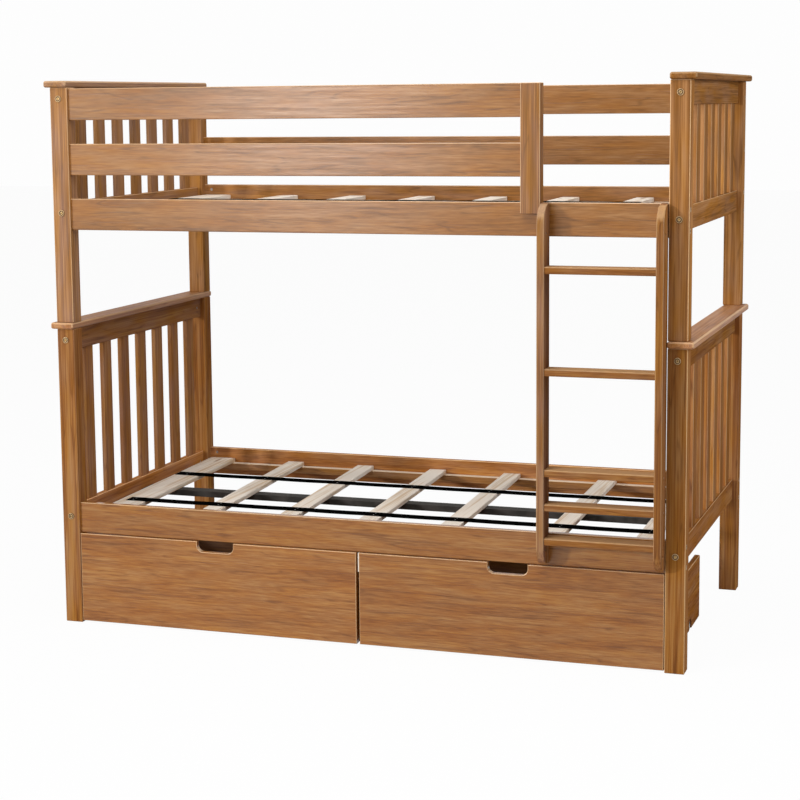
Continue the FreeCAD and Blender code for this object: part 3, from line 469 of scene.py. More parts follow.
    def material(self, board: str, finish: BoardFinish) -> bpy.types.Material:
        """Makes the material of one board, with its own stretch of grain.

        Args:
            board: The board's name, which picks the stretch of grain.
            finish: How the board was lacquered, sanded and used.

        Returns:
            The board's material.
        """
        material, tree = empty_material(f"{self.name}_{board}")
        layers = self.layers(tree, board, finish.grain)
        stain = self.wear_and_painted_light(tree, self.stain(tree, layers, finish), finish)
        level, roughness, _ = finish.gloss.value
        sheen = add_node(tree, "MapRange", {
            "Value": layers.streak, "From Min": self.sheen_range[0], "From Max": self.sheen_range[1],
            "To Min": roughness + self.sheen_change, "To Max": roughness - self.sheen_change}).outputs[0]
        relief = add_node(tree, "Bump", {
            "Strength": self.relief_strength, "Distance": self.relief_depth,
            "Height": layers.fine}).outputs[0]
        shader = add_node(tree, "BsdfPrincipled", {
            "Base Color": stain, "Roughness": sheen, "Specular IOR Level": level,
            "Normal": relief}).outputs[0]
        add_node(tree, "OutputMaterial", {"Surface": shader})
        return material


@dataclass(frozen=True)
class RawPine:
    """Pine slats, planed and left unfinished: pale, with faint amber grain and a few knots, and no shine.

    Knots are the small cores of cells of the knots' spacing, so each is longer than wide.
    """

    name: str = "planed_raw_pine"
    pale: str = "#EFE5D8"
    amber: str = "#D6BD9F"
    knot: str = "#8A6242"
    ring: Pair = (900 * MM, 7 * MM)
    bloom: Pair = (400 * MM, 40 * MM)
    knot_spacing: Pair = (420 * MM, 70 * MM)
    amber_range: Pair = (1.05, 0.75)
    knot_range: Pair = (0.13, 0.06)
    knot_share: float = 0.8
    ring_range: Pair = (0.3, 0.7)
    roughness: Pair = (0.7, 0.85)
    specular: float = 0.15
    relief_strength: float = 0.2
    relief_depth: float = 0.2 * MM

    def material(self, board: str, grain: Grain) -> bpy.types.Material:
        """Makes the raw wood of one set of slats.

        Args:
            board: The name of the set, which picks its stretch of grain.
            grain: The way its fibres run.

        Returns:
            The material.
        """
        material, tree = empty_material(f"{self.name}_{board}")
        place = grain_place(tree, board, grain)
        noises = []
        for size, detail in ((self.ring, 2.0), (self.bloom, 3.0)):
            counted = stretched(tree, place, size)
            noise = add_node(tree, "TexNoise", {"Vector": counted, "Scale": 1.0, "Detail": detail})
            noises.append(noise.outputs[0])
        ring, bloom = noises
        depth = add_node(tree, "Math", {0: ring, 1: bloom}, operation="ADD").outputs[0]
        amber = add_node(tree, "MapRange", {
            "Value": depth, "From Min": self.amber_range[0], "From Max": self.amber_range[1],
        }, interpolation_type="SMOOTHSTEP").outputs[0]
        colour = add_node(tree, "Mix", {SHARE: amber, UNDER: linear(self.pale), OVER: linear(self.amber)},
                          data_type="RGBA").outputs[MIXED]
        cells = stretched(tree, place, self.knot_spacing)
        core = add_node(tree, "TexVoronoi", {"Vector": cells, "Scale": 1.0}).outputs["Distance"]
        knot = add_node(tree, "MapRange", {
            "Value": core, "From Min": self.knot_range[0], "From Max": self.knot_range[1],
            "To Max": self.knot_share}, interpolation_type="SMOOTHSTEP").outputs[0]
        colour = add_node(tree, "Mix", {SHARE: knot, UNDER: colour, OVER: linear(self.knot)},
                          data_type="RGBA").outputs[MIXED]
        relief = add_node(tree, "Bump", {
            "Strength": self.relief_strength, "Distance": self.relief_depth, "Height": ring}).outputs[0]
        rough = add_node(tree, "MapRange", {
            "Value": ring, "From Min": self.ring_range[0], "From Max": self.ring_range[1],
            "To Min": self.roughness[0], "To Max": self.roughness[1]}).outputs[0]
        shader = add_node(tree, "BsdfPrincipled", {
            "Base Color": colour, "Roughness": rough, "Specular IOR Level": self.specular,
            "Normal": relief}).outputs[0]
        add_node(tree, "OutputMaterial", {"Surface": shader})
        return material


@dataclass(frozen=True)
class Webbing:
    """Black polypropylene tape, woven flat: fine lengthwise cords crossed by picks, quite without shine."""

    name: str = "woven_webbing"
    uv_map: str = "tape"
    thread: str = "#080808"
    valley_shade: str = "#030303"
    cord_spacing: float = 2.5 * MM
    pick_spacing: float = 1.6 * MM
    roughness: Pair = (0.95, 0.8)
    relief_strength: float = 0.6
    relief_depth: float = 0.3 * MM

    def material(self) -> bpy.types.Material:
        """Makes the weave on the tape's own UV map, which is in metres along and across the tape.

        The height of the weave is half of one plus the product of two sines, one along and one across. Its
        low parts are painted darker, as painted shade in the weave's valleys.

        Returns:
            The material.
        """
        material, tree = empty_material(self.name)
        place = add_node(tree, "UVMap", uv_map=self.uv_map).outputs[0]
        count = (2 * math.pi / self.pick_spacing, 2 * math.pi / self.cord_spacing, 0.0)
        counted = add_node(tree, "VectorMath", {0: place, 1: count}, operation="MULTIPLY").outputs[0]
        weave = add_node(tree, "VectorMath", {0: counted}, operation="SINE").outputs[0]
        part = add_node(tree, "SeparateXYZ", {"Vector": weave}).outputs
        crossing = add_node(tree, "Math", {0: part["X"], 1: part["Y"]}, operation="MULTIPLY").outputs[0]
        height = add_node(tree, "Math", {0: crossing, 1: 0.5, 2: 0.5}, operation="MULTIPLY_ADD").outputs[0]
        # Painted shade: the weave's low parts are darker.
        colour = add_node(tree, "Mix", {SHARE: height, UNDER: linear(self.valley_shade), OVER: linear(self.thread)},
                          data_type="RGBA").outputs[MIXED]
        relief = add_node(tree, "Bump", {
            "Strength": self.relief_strength, "Distance": self.relief_depth, "Height": height}).outputs[0]
        rough = add_node(tree, "MapRange", {
            "Value": height, "To Min": self.roughness[0], "To Max": self.roughness[1]}).outputs[0]
        shader = add_node(tree, "BsdfPrincipled", {
            "Base Color": colour, "Roughness": rough, "Specular IOR Level": 0.0, "Normal": relief}).outputs[0]
        add_node(tree, "OutputMaterial", {"Surface": shader})
        return material


@dataclass(frozen=True)
class MottledSkin:
    """The skin of a plated, coated or moulded part, with a cloudy mottle of two colours and a fine grit."""

    name: str
    colour: str
    mottle: str
    metallic: float
    roughness: Pair
    mottle_size: float
    grit_size: float
    relief_depth: float
    specular: float = 0.5
    relief_strength: float = 0.3
    mottle_range: Pair = (0.38, 0.62)
    gloss_range: Pair = (0.35, 0.65)

    def material(self) -> bpy.types.Material:
        """Makes the skin: the mottle sets its colour and its gloss, and the grit stands in relief.

        Returns:
            The material.
        """
        material, tree = empty_material(self.name)
        place = add_node(tree, "TexCoord").outputs["Object"]
        cloud = add_node(tree, "TexNoise", {
            "Vector": place, "Scale": 1 / self.mottle_size, "Detail": 3.0}).outputs[0]
        grit = add_node(tree, "TexNoise", {
            "Vector": place, "Scale": 1 / self.grit_size, "Detail": 1.0}).outputs[0]
        patch = add_node(tree, "MapRange", {
            "Value": cloud, "From Min": self.mottle_range[0], "From Max": self.mottle_range[1],
        }, interpolation_type="SMOOTHSTEP").outputs[0]
        colour = add_node(tree, "Mix", {SHARE: patch, UNDER: linear(self.colour), OVER: linear(self.mottle)},
                          data_type="RGBA").outputs[MIXED]
        rough = add_node(tree, "MapRange", {
            "Value": cloud, "From Min": self.gloss_range[0], "From Max": self.gloss_range[1],
            "To Min": self.roughness[0], "To Max": self.roughness[1]}).outputs[0]
        relief = add_node(tree, "Bump", {
            "Strength": self.relief_strength, "Distance": self.relief_depth, "Height": grit}).outputs[0]
        shader = add_node(tree, "BsdfPrincipled", {
            "Base Color": colour, "Metallic": self.metallic, "Roughness": rough,
            "Specular IOR Level": self.specular, "Normal": relief}).outputs[0]
        add_node(tree, "OutputMaterial", {"Surface": shader})
        return material


# Steel tube under black powder coat: dull black with a faint orange peel.
POWDER_COAT = MottledSkin(
    "black_powder_coat", "#363431", "#46423F", metallic=0.0, roughness=(0.7, 0.8), mottle_size=60 * MM,
    grit_size=1.5 * MM, relief_depth=0.1 * MM, specular=0.1)
# Steel plated with brass and darkened: warm, with brown patina and a soft shine.
ANTIQUE_BRASS = MottledSkin(
    "antique_brass_plate", "#B4935B", "#6E5530", metallic=1.0, roughness=(0.28, 0.45), mottle_size=6 * MM,
    grit_size=0.8 * MM, relief_depth=0.05 * MM)
# Pressed or turned steel under bright zinc: pale grey with a cloudy spangle.
ZINC_PLATE = MottledSkin(
    "zinc_plate", "#B9BBBC", "#8F9294", metallic=1.0, roughness=(0.30, 0.48), mottle_size=8 * MM,
    grit_size=0.9 * MM, relief_depth=0.05 * MM)
# Moulded nylon wheels: nearly black, with a dull moulded skin.
WHEEL_NYLON = MottledSkin(
    "moulded_nylon", "#1A1917", "#2A2826", metallic=0.0, roughness=(0.45, 0.6), mottle_size=9 * MM,
    grit_size=0.8 * MM, relief_depth=0.08 * MM)


@dataclass(frozen=True)
class RubbedHighlitBrass:
    """Brass plate, darkened and then rubbed: brown patina in its hollows, and pale gold on its raised rings,
    partly rubbed plate and partly a painted highlight.
    """

    name: str = "rubbed_highlit_antique_brass"
    raised: str = "raised"
    hollow: str = "#523719"
    ring: str = "#C2A57A"
    grain: float = 0.9 * MM
    grain_share: float = 0.4
    rubbed_and_highlit_range: Pair = (0.55, 1.15)
    roughness: Pair = (0.6, 0.35)
    metallic: float = 0.6

    def material(self) -> bpy.types.Material:
        """Makes the plate: its raised rings are painted pale through a fine grain, partly as rubbed plate and
        partly as a painted highlight, and its hollows stay dark and dull.

        Returns:
            The material.
        """
        material, tree = empty_material(self.name)
        lift = add_node(tree, "Attribute", attribute_name=self.raised).outputs["Fac"]
        place = add_node(tree, "TexCoord").outputs["Object"]
        grit = add_node(tree, "TexNoise", {
            "Vector": place, "Scale": 1 / self.grain, "Detail": 2.0}).outputs[0]
        rubbed_and_highlit = add_node(tree, "Math", {0: grit, 1: self.grain_share, 2: lift},
                          operation="MULTIPLY_ADD").outputs[0]
        bright = add_node(tree, "MapRange", {
            "Value": rubbed_and_highlit, "From Min": self.rubbed_and_highlit_range[0], "From Max": self.rubbed_and_highlit_range[1]}).outputs[0]
        # Raised rings painted pale gold: partly rubbed plate, partly a painted highlight; hollows keep the
        # dark patina.
        colour = add_node(tree, "Mix", {SHARE: bright, UNDER: linear(self.hollow), OVER: linear(self.ring)},
                          data_type="RGBA").outputs[MIXED]
        rough = add_node(tree, "MapRange", {
            "Value": bright, "To Min": self.roughness[0], "To Max": self.roughness[1]}).outputs[0]
        shader = add_node(tree, "BsdfPrincipled", {
            "Base Color": colour, "Metallic": self.metallic, "Roughness": rough}).outputs[0]
        add_node(tree, "OutputMaterial", {"Surface": shader})
        return material


@dataclass
class Bunk:
    """One bunk's posts, caps, end panels and side rails. A pair gives the left end and then the right end."""

    level: str
    wood: StainedWood
    tones: dict[str, float] = field(default_factory=dict)
    post_gloss: tuple[Gloss, Gloss] = (Gloss.DULL, Gloss.DULL)
    # Edge wear and painted highlight on the posts, caps, slats and panel rails, from 0 to 1.
    post_wear_and_highlight: Pair = (0.8, 0.8)
    post_figure: float = 1.45
    back_post_wear_and_highlight: float = 0.1
    cap_gloss: tuple[Gloss, Gloss] = (Gloss.EGGSHELL, Gloss.EGGSHELL)
    cap_wear_and_highlight: float = 0.5
    # Painted highlight on the caps' front faces, as a factor on their colour.
    cap_front_painted_light: Pair = (1.1, 1.15)
    panel_gloss: tuple[Gloss, Gloss] = (Gloss.MATT_PAINTED_SHEEN, Gloss.MATT)
    panel_rail_wear_and_highlight: float = 0.5
    slat_wear_and_highlight: Pair = (0.0, 0.5)
    # Factors on the panel slats' front edges: painted shade on the left panels' and painted light on the
    # right panels'.
    slat_edges: Pair = (0.8, 1.7)

    def finishes(self) -> dict[str, BoardFinish]:
        """Gives each of the bunk's boards its finish.

        Returns:
            The finishes by the boards' names.
        """
        boards = {"front_rail": BoardFinish(Grain.ALONG, Gloss.SATIN),
                  "back_rail": BoardFinish(Grain.ALONG, Gloss.DULL)}
        for k, end in enumerate(("left", "right")):
            boards[f"front_{end}_post"] = BoardFinish(Grain.UP, self.post_gloss[k], wear_and_highlight=self.post_wear_and_highlight[k])
            boards[f"back_{end}_post"] = BoardFinish(Grain.UP, Gloss.MATT, wear_and_highlight=self.back_post_wear_and_highlight)
            boards[f"{end}_cap"] = BoardFinish(Grain.ACROSS, self.cap_gloss[k], wear_and_highlight=self.cap_wear_and_highlight,
                                               front=self.cap_front_painted_light[k])
            boards[f"{end}_panel_slats"] = BoardFinish(Grain.UP, self.panel_gloss[k], wear_and_highlight=self.slat_wear_and_highlight[k],
                                                       front=self.slat_edges[k])
            for edge in ("top", "bottom"):
                boards[f"{end}_panel_{edge}_rail"] = BoardFinish(Grain.ACROSS, self.panel_gloss[k],
                                                                 wear_and_highlight=self.panel_rail_wear_and_highlight)
        return boards

    def cut(self, board: str, grain: Grain) -> StainedWood:
        """Picks the wood that a board is cut from: straight grain for all but the long rails.

        Args:
            board: The board's name.
            grain: The way its fibres run.

        Returns:
            The wood.
        """
        if grain is Grain.ALONG:
            return self.wood
        return self.wood.straight(self.post_figure) if board.endswith("post") else self.wood.straight()

    def dress(self, nodes: Nodes) -> None:
        """Dresses the bunk's boards, each along its own grain.

        Args:
            nodes: The model's objects by name.
        """
        for board, finish in self.finishes().items():
            name = f"{self.level}_{board}"
            toned = replace(finish, tone=self.tones.get(board, 1.0))
            dress(nodes[name], self.cut(board, finish.grain).material(name, toned))


@dataclass
class GuardRails:
    """The upper bunk's guard rails and the short post that ends the front ones."""

    wood: StainedWood
    tones: dict[str, float] = field(default_factory=dict)
    post_figure: float = 1.45

    def dress(self, nodes: Nodes) -> None:
        """Dresses the rails along their length and the post upright.

        Args:
            nodes: The model's objects by name.
        """
        rail = BoardFinish(Grain.ALONG, Gloss.SATIN)
        for board in (f"{side}_{row}_guard_rail" for row in ("mid", "top") for side in ("front", "back")):
            dress(nodes[board], self.wood.material(board, replace(rail, tone=self.tones.get(board, 1.0))))
        post = BoardFinish(Grain.UP, Gloss.MATT_PAINTED_SHEEN, self.tones.get("guard_post", 1.0))
        dress(nodes["guard_post"], self.wood.straight(self.post_figure).material("guard_post", post))


@dataclass
class BedBase:
    """One bunk's raw slats under two woven straps, which are stapled to each slat.

    Each row of straps has its name, the y of its middle line, and how far it starts before the first slat's
    middle. The slats' turns are in degrees.
    """

    level: str
    slat_top: float
    slat_centres: tuple[float, ...]
    slat_turns: tuple[float, ...]
    bed_middle: float = 25.75 * MM
    first_slat_width: float = 97 * MM
    slat_width: float = 62 * MM
    strap_rows: tuple[tuple[str, float, float], ...] = (
        ("front", -253.25 * MM, 15 * MM),
        ("back", 205.75 * MM, 46 * MM),
    )
    strap_width: float = 50 * MM
    strap_thickness: float = 1.8 * MM
    strap_tail: float = 30 * MM
    strap_sag: float = 0.8 * MM
    middle_sag: float = 1.15
    edge_lift: float = 0.6
    strap_steps: int = 400
    strap_columns: int = 9
    staple_crown: float = 11 * MM
    staple_wire: float = 1.2 * MM
    staple_leg: float = 2.2 * MM
    staple_power: int = 6
    staple_steps: int = 25
    wire_sides: int = 8

    def slat_middles(self, middle: float) -> np.ndarray:
        """Returns the x of each turned slat's middle line where a strap at y = middle crosses it."""
        return np.array(self.slat_centres) + (self.bed_middle - middle) * np.tan(np.radians(self.slat_turns))

    def slat_edges(self, middle: float) -> np.ndarray:
        """Finds the slats' edges under a strap.

        Args:
            middle: The y of the strap's middle line.

        Returns:
            The x of each slat's left and right edge, from left to right.
        """
        half = np.full(len(self.slat_centres), self.slat_width / 2)
        half[0] = self.first_slat_width / 2
        centres = self.slat_middles(middle)
        return np.stack((centres - half, centres + half), axis=1).ravel()

    def strap(self, row: str, middle: float, lead: float, uv_map: str) -> bpy.types.Object:
        """Lays one strap on the slats.

        The tape is flat on each slat. Between two slats it sinks as a parabola: the sag times 4 t (1 - t),
        where t runs from 0 to 1 over the gap, and its middle sinks a little more than its woven edges.

        Args:
            row: The strap's name, front or back.
            middle: The y of its middle line.
            lead: How far it starts before the first slat's middle.
            uv_map: The name of the UV map that its weave follows.

        Returns:
            The strap.
        """
        start = self.slat_centres[0] - lead
        end = self.slat_centres[-1] + self.strap_tail
        along = np.linspace(start, end, self.strap_steps)
        across = np.linspace(-0.5, 0.5, self.strap_columns)
        x, v = np.meshgrid(along, across, indexing="ij")
        edges = self.slat_edges(middle)
        before = np.clip(np.searchsorted(edges, x) - 1, 0, len(edges) - 2)
        t = np.clip((x - edges[before]) / (edges[before + 1] - edges[before]), 0, 1)
        hanging = (before % 2 == 1) * 4 * t * (1 - t)
        sunk = self.strap_sag * hanging * (self.middle_sag - self.edge_lift * v ** 2)
        z = self.slat_top + self.strap_thickness / 2 - sunk
        points = np.stack((x, middle + v * self.strap_width, z), axis=-1).reshape(-1, 3)
        strap = mesh_object(f"{self.level}_{row}_strap", points, grid_faces(len(along), len(across)))
        tape = strap.data.uv_layers.new(name=uv_map)
        corner = np.empty(len(strap.data.loops), dtype=np.int32)
        strap.data.loops.foreach_get("vertex_index", corner)
        tape.data.foreach_set("uv", (points[corner, :2] - (start, middle)).ravel())
        wall = strap.modifiers.new("tape thickness", "SOLIDIFY")
        wall.thickness = self.strap_thickness
        wall.offset = 0.0
        return strap

    def staples(self, row: str, middle: float) -> bpy.types.Object:
        """Drives two staples through a strap into each slat.

        A staple is a round wire carried along a flat bridge: up one leg, over the crown and down the other
        leg, with both corners rounded by following a superellipse.

        Args:
            row: The strap's name, front or back.
            middle: The y of the strap's middle line.

        Returns:
            All the staples of one strap as one piece.
        """
        turn = np.linspace(0, math.pi, self.staple_steps)
        ring = np.linspace(0, 2 * math.pi, self.wire_sides, endpoint=False)
        crown, leg = superellipse(turn, self.staple_power)
        path = np.stack((crown * self.staple_crown / 2, leg * self.staple_leg), axis=1)
        lead = np.gradient(path, axis=0)
        lead /= np.linalg.norm(lead, axis=1, keepdims=True)
        side = np.stack((lead[:, 1], -lead[:, 0]), axis=1)
        radius = self.staple_wire / 2
        y = path[:, None, 0] + radius * np.cos(ring) * side[:, None, 0]
        z = path[:, None, 1] + radius * np.cos(ring) * side[:, None, 1]
        x = np.broadcast_to(radius * np.sin(ring), y.shape)
        wire = np.stack((x, y, z), axis=-1).reshape(-1, 3)
        foot = self.slat_top + self.strap_thickness - self.staple_leg
        places = np.array([(centre, middle + offset, foot) for centre in self.slat_middles(middle)
                           for offset in (-self.strap_width / 4, self.strap_width / 4)])
        points = (places[:, None, :] + wire[None]).reshape(-1, 3)
        faces = grid_faces(len(turn), len(ring), closed=True)
        every = (np.arange(len(places))[:, None, None] * len(wire) + faces[None]).reshape(-1, 4)
        return mesh_object(f"{self.level}_{row}_staples", points, every)

    def build(self, webbing: Webbing, tape: bpy.types.Material, wire: bpy.types.Material) -> None:
        """Makes the bunk's straps and staples in place of the plain straps.

        Args:
            webbing: The tape's finish, which names its UV map.
            tape: The tape's material.
            wire: The staples' material.
        """
        for row, middle, lead in self.strap_rows:
            strap = self.strap(row, middle, lead, webbing.uv_map)
            staples = self.staples(row, middle)
            dress(strap, tape)
            dress(staples, wire)
            for piece, slot in ((strap, "webbing"), (staples, "zinc_hardware")):
                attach(piece, "frame")
            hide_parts("slat_straps")

    def dress(self, nodes: Nodes, pine: RawPine) -> None:
        """Dresses the slats in raw pine across the bed."""
        slats = f"{self.level}_slats"
        dress(nodes[slats], pine.material(slats, Grain.ACROSS))


@dataclass
class Ladder:
    """Two stiles with rounded front corners and five flat rungs, whose treads are painted pale: partly wear,
    partly painted light.
    """

    wood: StainedWood
    tones: dict[str, float] = field(default_factory=dict)
    wear_and_painted_light: float = 0.4
    tread_wear_and_light: float = 0.4
    stile_figure: float = 1.45

    def dress(self, nodes: Nodes) -> None:
        """Dresses the stiles upright and the rungs along.

        Args:
            nodes: The model's objects by name.
        """
        upright = self.wood.straight(self.stile_figure)
        for board, gloss in (("ladder_left_stile", Gloss.MATT_PAINTED_SHEEN), ("ladder_right_stile", Gloss.MATT)):
            stile = BoardFinish(Grain.UP, gloss, self.tones.get(board, 1.0), self.wear_and_painted_light)
            dress(nodes[board], upright.material(board, stile))
        board = "ladder_rungs"
        # Treads painted pale: partly wear, partly painted light.
        rung = BoardFinish(Grain.ALONG, Gloss.MATT, self.tones.get(board, 1.0), self.wear_and_painted_light,
                           top=(self.wood.edge, self.tread_wear_and_light))
        dress(nodes[board], self.wood.material(board, rung))


@dataclass
class Drawer:
    """A drawer on four wheels: stained front, sides and back round a thin board."""

    side: str
    wood: StainedWood
    board: StainedWood
    tones: dict[str, float] = field(default_factory=dict)

    def dress(self, nodes: Nodes, plate: bpy.types.Material, wheel: bpy.types.Material) -> None:
        """Dresses the drawer's boards, casters and wheels.

        Args:
            nodes: The model's objects by name.
            plate: The casters' material.
            wheel: The wheels' material.
        """
        boards = {"front": BoardFinish(Grain.ALONG, Gloss.SATIN),
                  "back": BoardFinish(Grain.ALONG, Gloss.MATT),
                  "left_side": BoardFinish(Grain.ACROSS, Gloss.MATT),
                  "right_side": BoardFinish(Grain.ACROSS, Gloss.MATT)}
        for board, finish in boards.items():
            name = f"{self.side}_drawer_{board}"
            toned = replace(finish, tone=self.tones.get(board, 1.0))
            dress(nodes[name], self.wood.material(name, toned))
        base = f"{self.side}_drawer_base"
        dress(nodes[base], self.board.material(base, BoardFinish(Grain.ALONG)))
        dress(nodes[f"{self.side}_drawer_casters"], plate)
        for axle in ("front", "back"):
            dress(nodes[f"{self.side}_drawer_{axle}_wheels"], wheel)


@dataclass
class GapLightStrip:
    """A pale strip of raw pine at the left edge of the right drawer's front, in the gap between the fronts:
    painted light, standing in for the light seen through the top of the gap.

    Along its height, rise is how far up each row of points lies and swell how wide the strip is there.
    """

    edge: float = 5.0 * MM
    thickness: float = 3.4 * MM
    depth: Pair = (-518.4 * MM, -502.0 * MM)
    height: Pair = (239.5 * MM, 299.9 * MM)
    rise: tuple[float, ...] = (0.0, 0.0, 0.02, 0.98, 1.0, 1.0)
    swell: tuple[float, ...] = (0.0, 0.9, 1.0, 1.0, 0.9, 0.0)
    corner_power: int = 8
    sides: int = 40

    def build(self, material: bpy.types.Material) -> None:
        """Makes the strip: a superellipse in plan, carried upwards, with both ends drawn in and closed.

        Args:
            material: The strip's material.
        """
        turn = np.linspace(0, 2 * math.pi, self.sides, endpoint=False)
        plan_x, plan_y = superellipse(turn, self.corner_power)
        front, back = self.depth
        bottom, top = self.height
        x = self.edge - self.thickness / 2 + np.outer(self.swell, plan_x) * self.thickness / 2
        y = (front + back) / 2 + np.outer(self.swell, plan_y) * (back - front) / 2
        z = bottom + np.broadcast_to(np.array(self.rise)[:, None], x.shape) * (top - bottom)
        points = np.stack((x, y, z), axis=-1).reshape(-1, 3)
        faces = grid_faces(len(self.rise), len(turn), closed=True)
        strip = mesh_object("drawer_bumper", points, faces, smooth=False)
        dress(strip, material)
        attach(strip, "right_drawer")


@dataclass
class BoltFaces:
    """The dished faces pressed over the panel bolts' heads, on the front and back of the posts.

    Each face has the y of its post's surface and the way it looks. Radii and levels give the profile in
    millimetres, from the rim inwards, and rubbed_and_highlit gives the levels between which the plate is
    painted pale, partly as rubbed plate and partly as a painted highlight.
    """

    post_middles: tuple[float, ...] = (-995 * MM, 995 * MM)
    heights: tuple[float, ...] = (356 * MM, 938 * MM, 1349 * MM, 1713 * MM)
    faces: tuple[Pair, ...] = ((-519.25 * MM, -1.0), (570.75 * MM, 1.0))
    radii: tuple[float, ...] = (10.0, 10.2, 9.7, 9.0, 8.2, 6.6, 5.2, 4.6, 3.9, 3.3, 2.95)
    levels: tuple[float, ...] = (1.2, 2.2, 2.9, 3.1, 2.75, 2.56, 2.62, 2.95, 2.95, 2.62, 2.2)
    rubbed_and_highlit: Pair = (2.6, 2.95)
    sides: int = 32

    def build(self, plate: RubbedHighlitBrass) -> None:
        """Makes the faces: one profile of radius and level turned about each bolt, with an open socket.

        Args:
            plate: The faces' finish, which reads how far each point is raised.
        """
        turn = np.linspace(0, 2 * math.pi, self.sides, endpoint=False)
        radii = np.array(self.radii) * MM
        x, z = np.outer(radii, np.cos(turn)), np.outer(radii, np.sin(turn))
        level = np.broadcast_to(np.array(self.levels)[:, None], x.shape)
        ring = grid_faces(len(radii), len(turn), closed=True)
        points, faces = [], []
        for face, outwards in self.faces:
            y = face + outwards * level * MM
            for middle in self.post_middles:
                for height in self.heights:
                    faces.append((ring if outwards < 0 else ring[:, ::-1]) + len(points) * level.size)
                    points.append(np.stack((middle + x, y, height + z), axis=-1).reshape(-1, 3))
        piece = mesh_object("bolt_faces", np.concatenate(points), np.concatenate(faces))
        raised = piece.data.attributes.new(plate.raised, "FLOAT", "POINT")
        lift = np.interp(level.ravel(), self.rubbed_and_highlit, (0.0, 1.0))
        raised.data.foreach_set("value", np.tile(lift, len(points)))
        dress(piece, plate.material())
        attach(piece, "frame")


@dataclass(frozen=True)
class Lamp:
    """A square soft lamp: its name, its place and the side of its panel in metres, and its power in watts."""

    name: str
    place: Point
    size: float
    power: float

    def hang(self, aim: Point) -> None:
        """Hangs the lamp so that it faces a point.

        Args:
            aim: The point.
        """
        data = bpy.data.lights.new(self.name, "AREA")
        data.size = self.size
        data.energy = self.power
        lamp = bpy.data.objects.new(self.name, data)
        lamp.location = self.place
        lamp.rotation_euler = (Vector(aim) - Vector(self.place)).to_track_quat("-Z", "Y").to_euler()
        bpy.context.scene.collection.objects.link(lamp)


@dataclass
class Studio:
    """A white studio with a pale floor, soft lamps and the photograph's view."""

    camera_place: Point = (1.9622, -6.0123, 1.6934)
    yaw: float = 0.3341
    pitch: float = -0.1341
    roll: float = -0.0101
    lens: float = 86.1
    shift: Pair = (0.0350, -0.0499)
    floor_size: float = 60.0
    paper: str = "#E6E6E6"
    glow: str = "#FFFFFF"
    glow_share: float = 0.96
    ambient: float = 0.25
    white: float = 0.984
    lamps: tuple[Lamp, ...] = (
        Lamp("left softbox", (-9.5, -11.2, 4.0), 1.4, 960.0),
        Lamp("front panel", (-2.22, -6.0, 1.67), 1.2, 42.0),
        Lamp("right panel", (3.4, -0.55, 2.2), 1.0, 38.0),
        Lamp("front boom", (0.0, -2.2, 3.6), 2.0, 51.0),
        Lamp("overhead panel", (0.0, 0.0, 5.2), 3.0, 80.0),
    )
    aim: Point = (0.0, 0.0, 0.9)

    def build(self) -> None:
        """Makes the floor, the world, the lamps and the camera."""
        self.floor()
        self.world()
        for lamp in self.lamps:
            lamp.hang(self.aim)
        self.camera()
        bpy.context.scene.view_settings.view_transform = "Standard"

    def white_rays(self, tree: bpy.types.NodeTree) -> bpy.types.NodeSocket:
        """Finds the rays that see the plain white: those of the camera, of reflections and of clear parts.

        Args:
            tree: The tree of the floor's material or of the world.

        Returns:
            One for such a ray and nought for the others.
        """
        path = add_node(tree, "LightPath").outputs
        seen = add_node(tree, "Math", {0: path["Is Camera Ray"], 1: path["Is Glossy Ray"]},
                        operation="MAXIMUM").outputs[0]
        return add_node(tree, "Math", {0: seen, 1: path["Is Transmission Ray"]},
                        operation="MAXIMUM").outputs[0]

    def floor(self) -> None:
        """Lays a flat white floor, which looks white and keeps a soft shadow."""
        half = self.floor_size / 2
        points = np.array([(-half, -half, 0), (half, -half, 0), (half, half, 0), (-half, half, 0)])
        floor = mesh_object("studio_floor", points, np.array([[0, 1, 2, 3]]), smooth=False)
        material, tree = empty_material("white_floor")
        paper = add_node(tree, "BsdfDiffuse", {"Color": linear(self.paper)}).outputs[0]
        glow = add_node(tree, "Emission", {"Color": linear(self.glow)}).outputs[0]
        white = add_node(tree, "MixShader", {0: self.glow_share, 1: paper, 2: glow}).outputs[0]
        shader = add_node(tree, "MixShader", {0: self.white_rays(tree), 1: paper, 2: white}).outputs[0]
        add_node(tree, "OutputMaterial", {"Surface": shader})
        dress(floor, material)

    def world(self) -> None:
        """Surrounds the bed with even light, and with white where it is looked at."""
        world = bpy.data.worlds.new("white_studio")
        world.use_nodes = True
        tree = world.node_tree
        tree.nodes.clear()
        level = add_node(tree, "MapRange", {
            "Value": self.white_rays(tree), "To Min": self.ambient, "To Max": self.white}).outputs[0]
        sky = add_node(tree, "Background", {"Color": linear(self.glow), "Strength": level}).outputs[0]
        add_node(tree, "OutputWorld", {"Surface": sky})
        bpy.context.scene.world = world

    def camera(self) -> None:
        """Stands the camera where the photograph was taken, turned by its yaw, pitch and roll."""
        ahead = Vector((-math.sin(self.yaw) * math.cos(self.pitch), math.cos(self.yaw) * math.cos(self.pitch),
                        math.sin(self.pitch)))
        level = Vector((math.cos(self.yaw), math.sin(self.yaw), 0.0))
        above = level.cross(ahead)
        right = level * math.cos(self.roll) + above * math.sin(self.roll)
        up = above * math.cos(self.roll) - level * math.sin(self.roll)
        data = bpy.data.cameras.new("photograph")
        data.lens = self.lens
        data.shift_x, data.shift_y = self.shift
        camera = bpy.data.objects.new("photograph", data)
        turn = Matrix((right, up, -ahead)).transposed()
        camera.matrix_world = Matrix.Translation(self.camera_place) @ turn.to_4x4()
        bpy.context.scene.collection.objects.link(camera)
        bpy.context.scene.camera = camera


